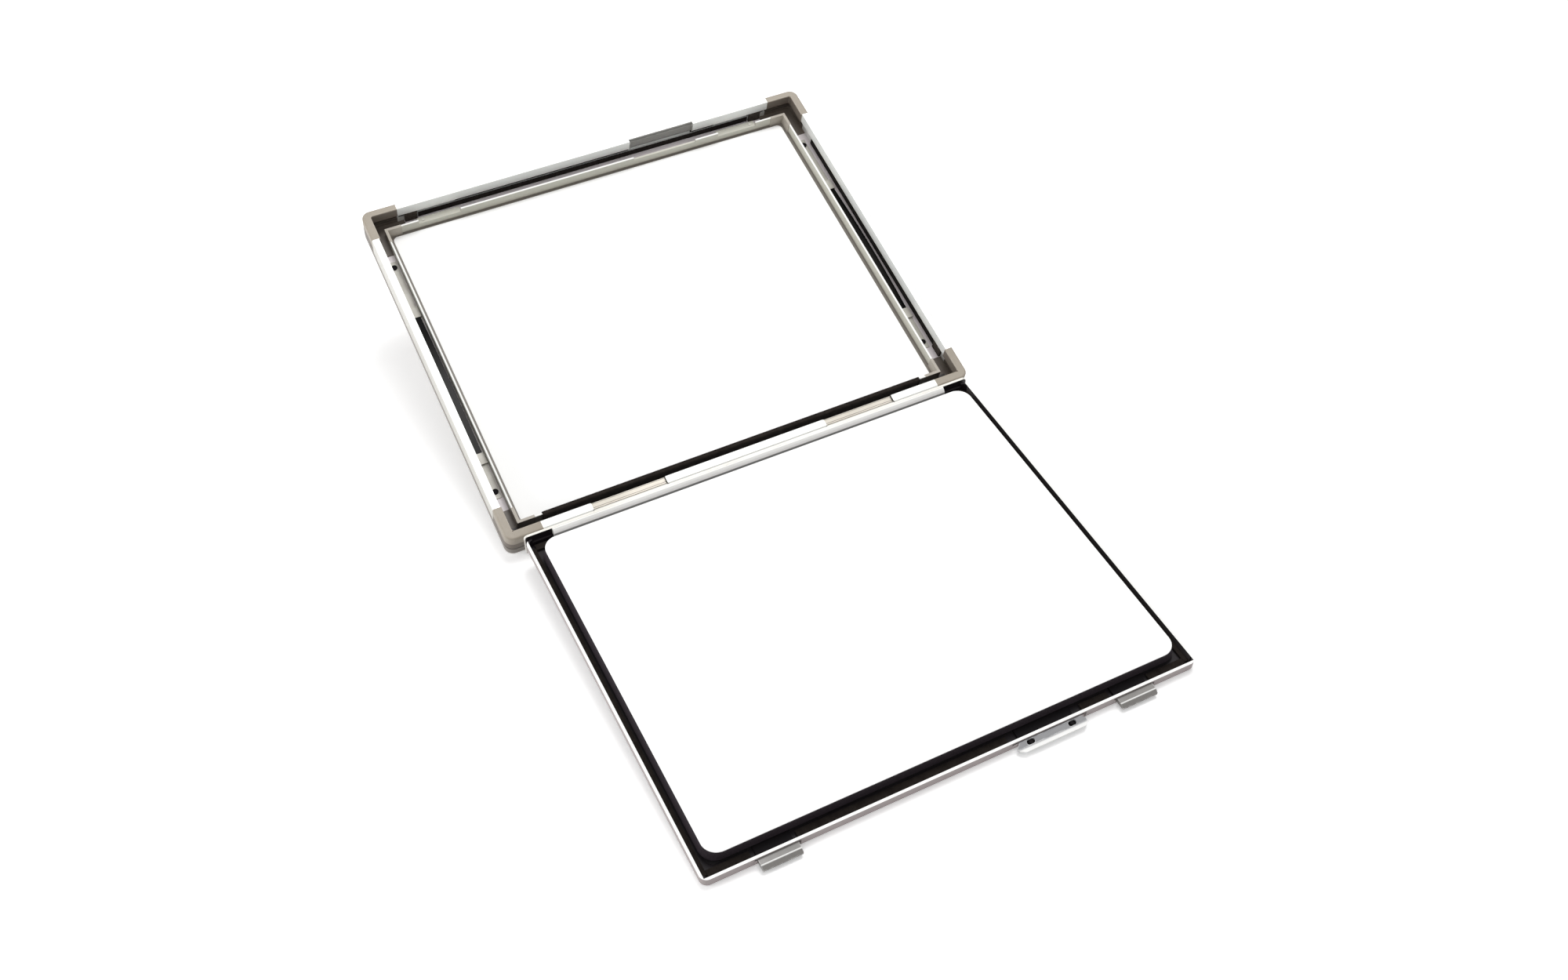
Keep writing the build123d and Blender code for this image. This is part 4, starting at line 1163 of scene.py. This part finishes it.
@dataclass
class Studio:
    """Table, lamps and camera.

    Attributes:
        eye: camera place in metres.
        azimuth: direction of view before the table's lean is added, in degrees.
        elevation: height of view in degrees.
        roll: camera roll in degrees.
        lean: rotation about X that sets the view level with the table.
        lens: focal length for a 36 mm sensor.
    """

    eye: tuple[float, float, float] = (-0.2619, -0.58408, 0.6259)
    azimuth: float = -27.44
    elevation: float = 48.18
    roll: float = 0.75
    lean: float = 3.79
    lens: float = 37.06

    def camera(self) -> None:
        """Place the camera."""
        data = bpy.data.cameras.new("camera")
        data.lens = self.lens
        data.sensor_width = 36.0
        data.clip_start = 0.01
        camera = bpy.data.objects.new("camera", data)
        bpy.context.scene.collection.objects.link(camera)
        turn, rise, roll = (math.radians(angle) for angle in (self.azimuth, self.elevation, self.roll))
        back = Vector((math.sin(turn) * math.cos(rise), -math.cos(turn) * math.cos(rise), math.sin(rise)))
        right = Vector((math.cos(turn), math.sin(turn), 0))
        up = back.cross(right)
        rolled = right * math.cos(roll) + up * math.sin(roll)
        raised = up * math.cos(roll) - right * math.sin(roll)
        axes = Matrix((rolled, raised, back)).transposed()
        axes = Matrix.Rotation(math.radians(self.lean), 3, "X") @ axes
        camera.matrix_world = Matrix.Translation(self.eye) @ axes.to_4x4()
        bpy.context.scene.camera = camera

    def table(self) -> None:
        """Make the white table that the cassette stands on."""
        mesh = bmesh.new()
        bmesh.ops.create_grid(mesh, x_segments=1, y_segments=1, size=6.0)
        material = bpy.data.materials.new("white_table")
        material.use_nodes = True
        build = Tree(material.node_tree)
        shader = material.node_tree.nodes["Principled BSDF"]
        shader.inputs["Base Color"].default_value = (0.93, 0.93, 0.93, 1)
        shader.inputs["Roughness"].default_value = 0.7
        output = material.node_tree.nodes["Material Output"]
        rays = build.add("ShaderNodeLightPath")
        glow = build.add("ShaderNodeEmission")
        glow.inputs["Color"].default_value = (1, 1, 1, 1)
        glow.inputs["Strength"].default_value = 0.25
        seen = build.math("MAXIMUM", rays.outputs["Is Camera Ray"], rays.outputs["Is Glossy Ray"])
        added = build.add("ShaderNodeAddShader")
        mixed = build.add("ShaderNodeMixShader")
        build.link(shader.outputs[0], added.inputs[0])
        build.link(glow.outputs[0], added.inputs[1])
        build.link(seen, mixed.inputs[0])
        build.link(shader.outputs[0], mixed.inputs[1])
        build.link(added.outputs[0], mixed.inputs[2])
        build.link(mixed.outputs[0], output.inputs["Surface"])
        table = finish_object("table", mesh, material)
        table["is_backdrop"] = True

    def lamps(self) -> None:
        """Light the cassette with a broad lamp, a fill and a pale world."""
        world = bpy.data.worlds.new("pale_room")
        bpy.context.scene.world = world
        world.use_nodes = True
        build = Tree(world.node_tree)
        room = world.node_tree.nodes["Background"]
        room.inputs["Color"].default_value = (1, 1, 1, 1)
        rays = build.add("ShaderNodeLightPath")
        seen = build.math("MAXIMUM", rays.outputs["Is Camera Ray"], rays.outputs["Is Glossy Ray"])
        build.link(build.remap(seen, 0.0, 1.0, 0.44, 0.95), room.inputs["Strength"])
        self.lamp("key", (0.38, 0.30, 1.5), 0.8, 14.5)
        self.lamp("fill", (-0.5, -0.8, 1.4), 1.2, 4.5)
        self.lamp("side", (-1.3, 0.25, 0.5), 0.8, 7.5)

    def lamp(self, name: str, place: tuple[float, float, float], size: float, power: float) -> None:
        """Add one square lamp aimed at the cassette.

        Args:
            name: the lamp's name.
            place: where it hangs, in metres.
            size: its side.
            power: its power in watts.
        """
        data = bpy.data.lights.new(name, "AREA")
        data.size = size
        data.energy = power
        lamp = bpy.data.objects.new(name, data)
        bpy.context.scene.collection.objects.link(lamp)
        lamp.location = place
        lamp.rotation_euler = (-Vector(place)).to_track_quat("-Z", "Y").to_euler()


def main() -> None:
    """Dress the cassette and set up the studio."""
    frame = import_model()
    bpy.context.scene.view_settings.view_transform = "Standard"
    dresser = Dresser(frame["nodes"])
    film_frame, padded_back, latch = FilmFrame(), PaddedBack(), Latch()
    for part in (film_frame, padded_back, latch):
        dresser.dress(part.finishes)
    film_frame.make(dresser)
    padded_back.make(dresser, film_frame.between_windows(-129.3, 129.3))
    studio = Studio()
    studio.camera()
    studio.table()
    studio.lamps()
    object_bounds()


if __name__ == "__main__":
    logging.basicConfig(level=logging.INFO)
    main()
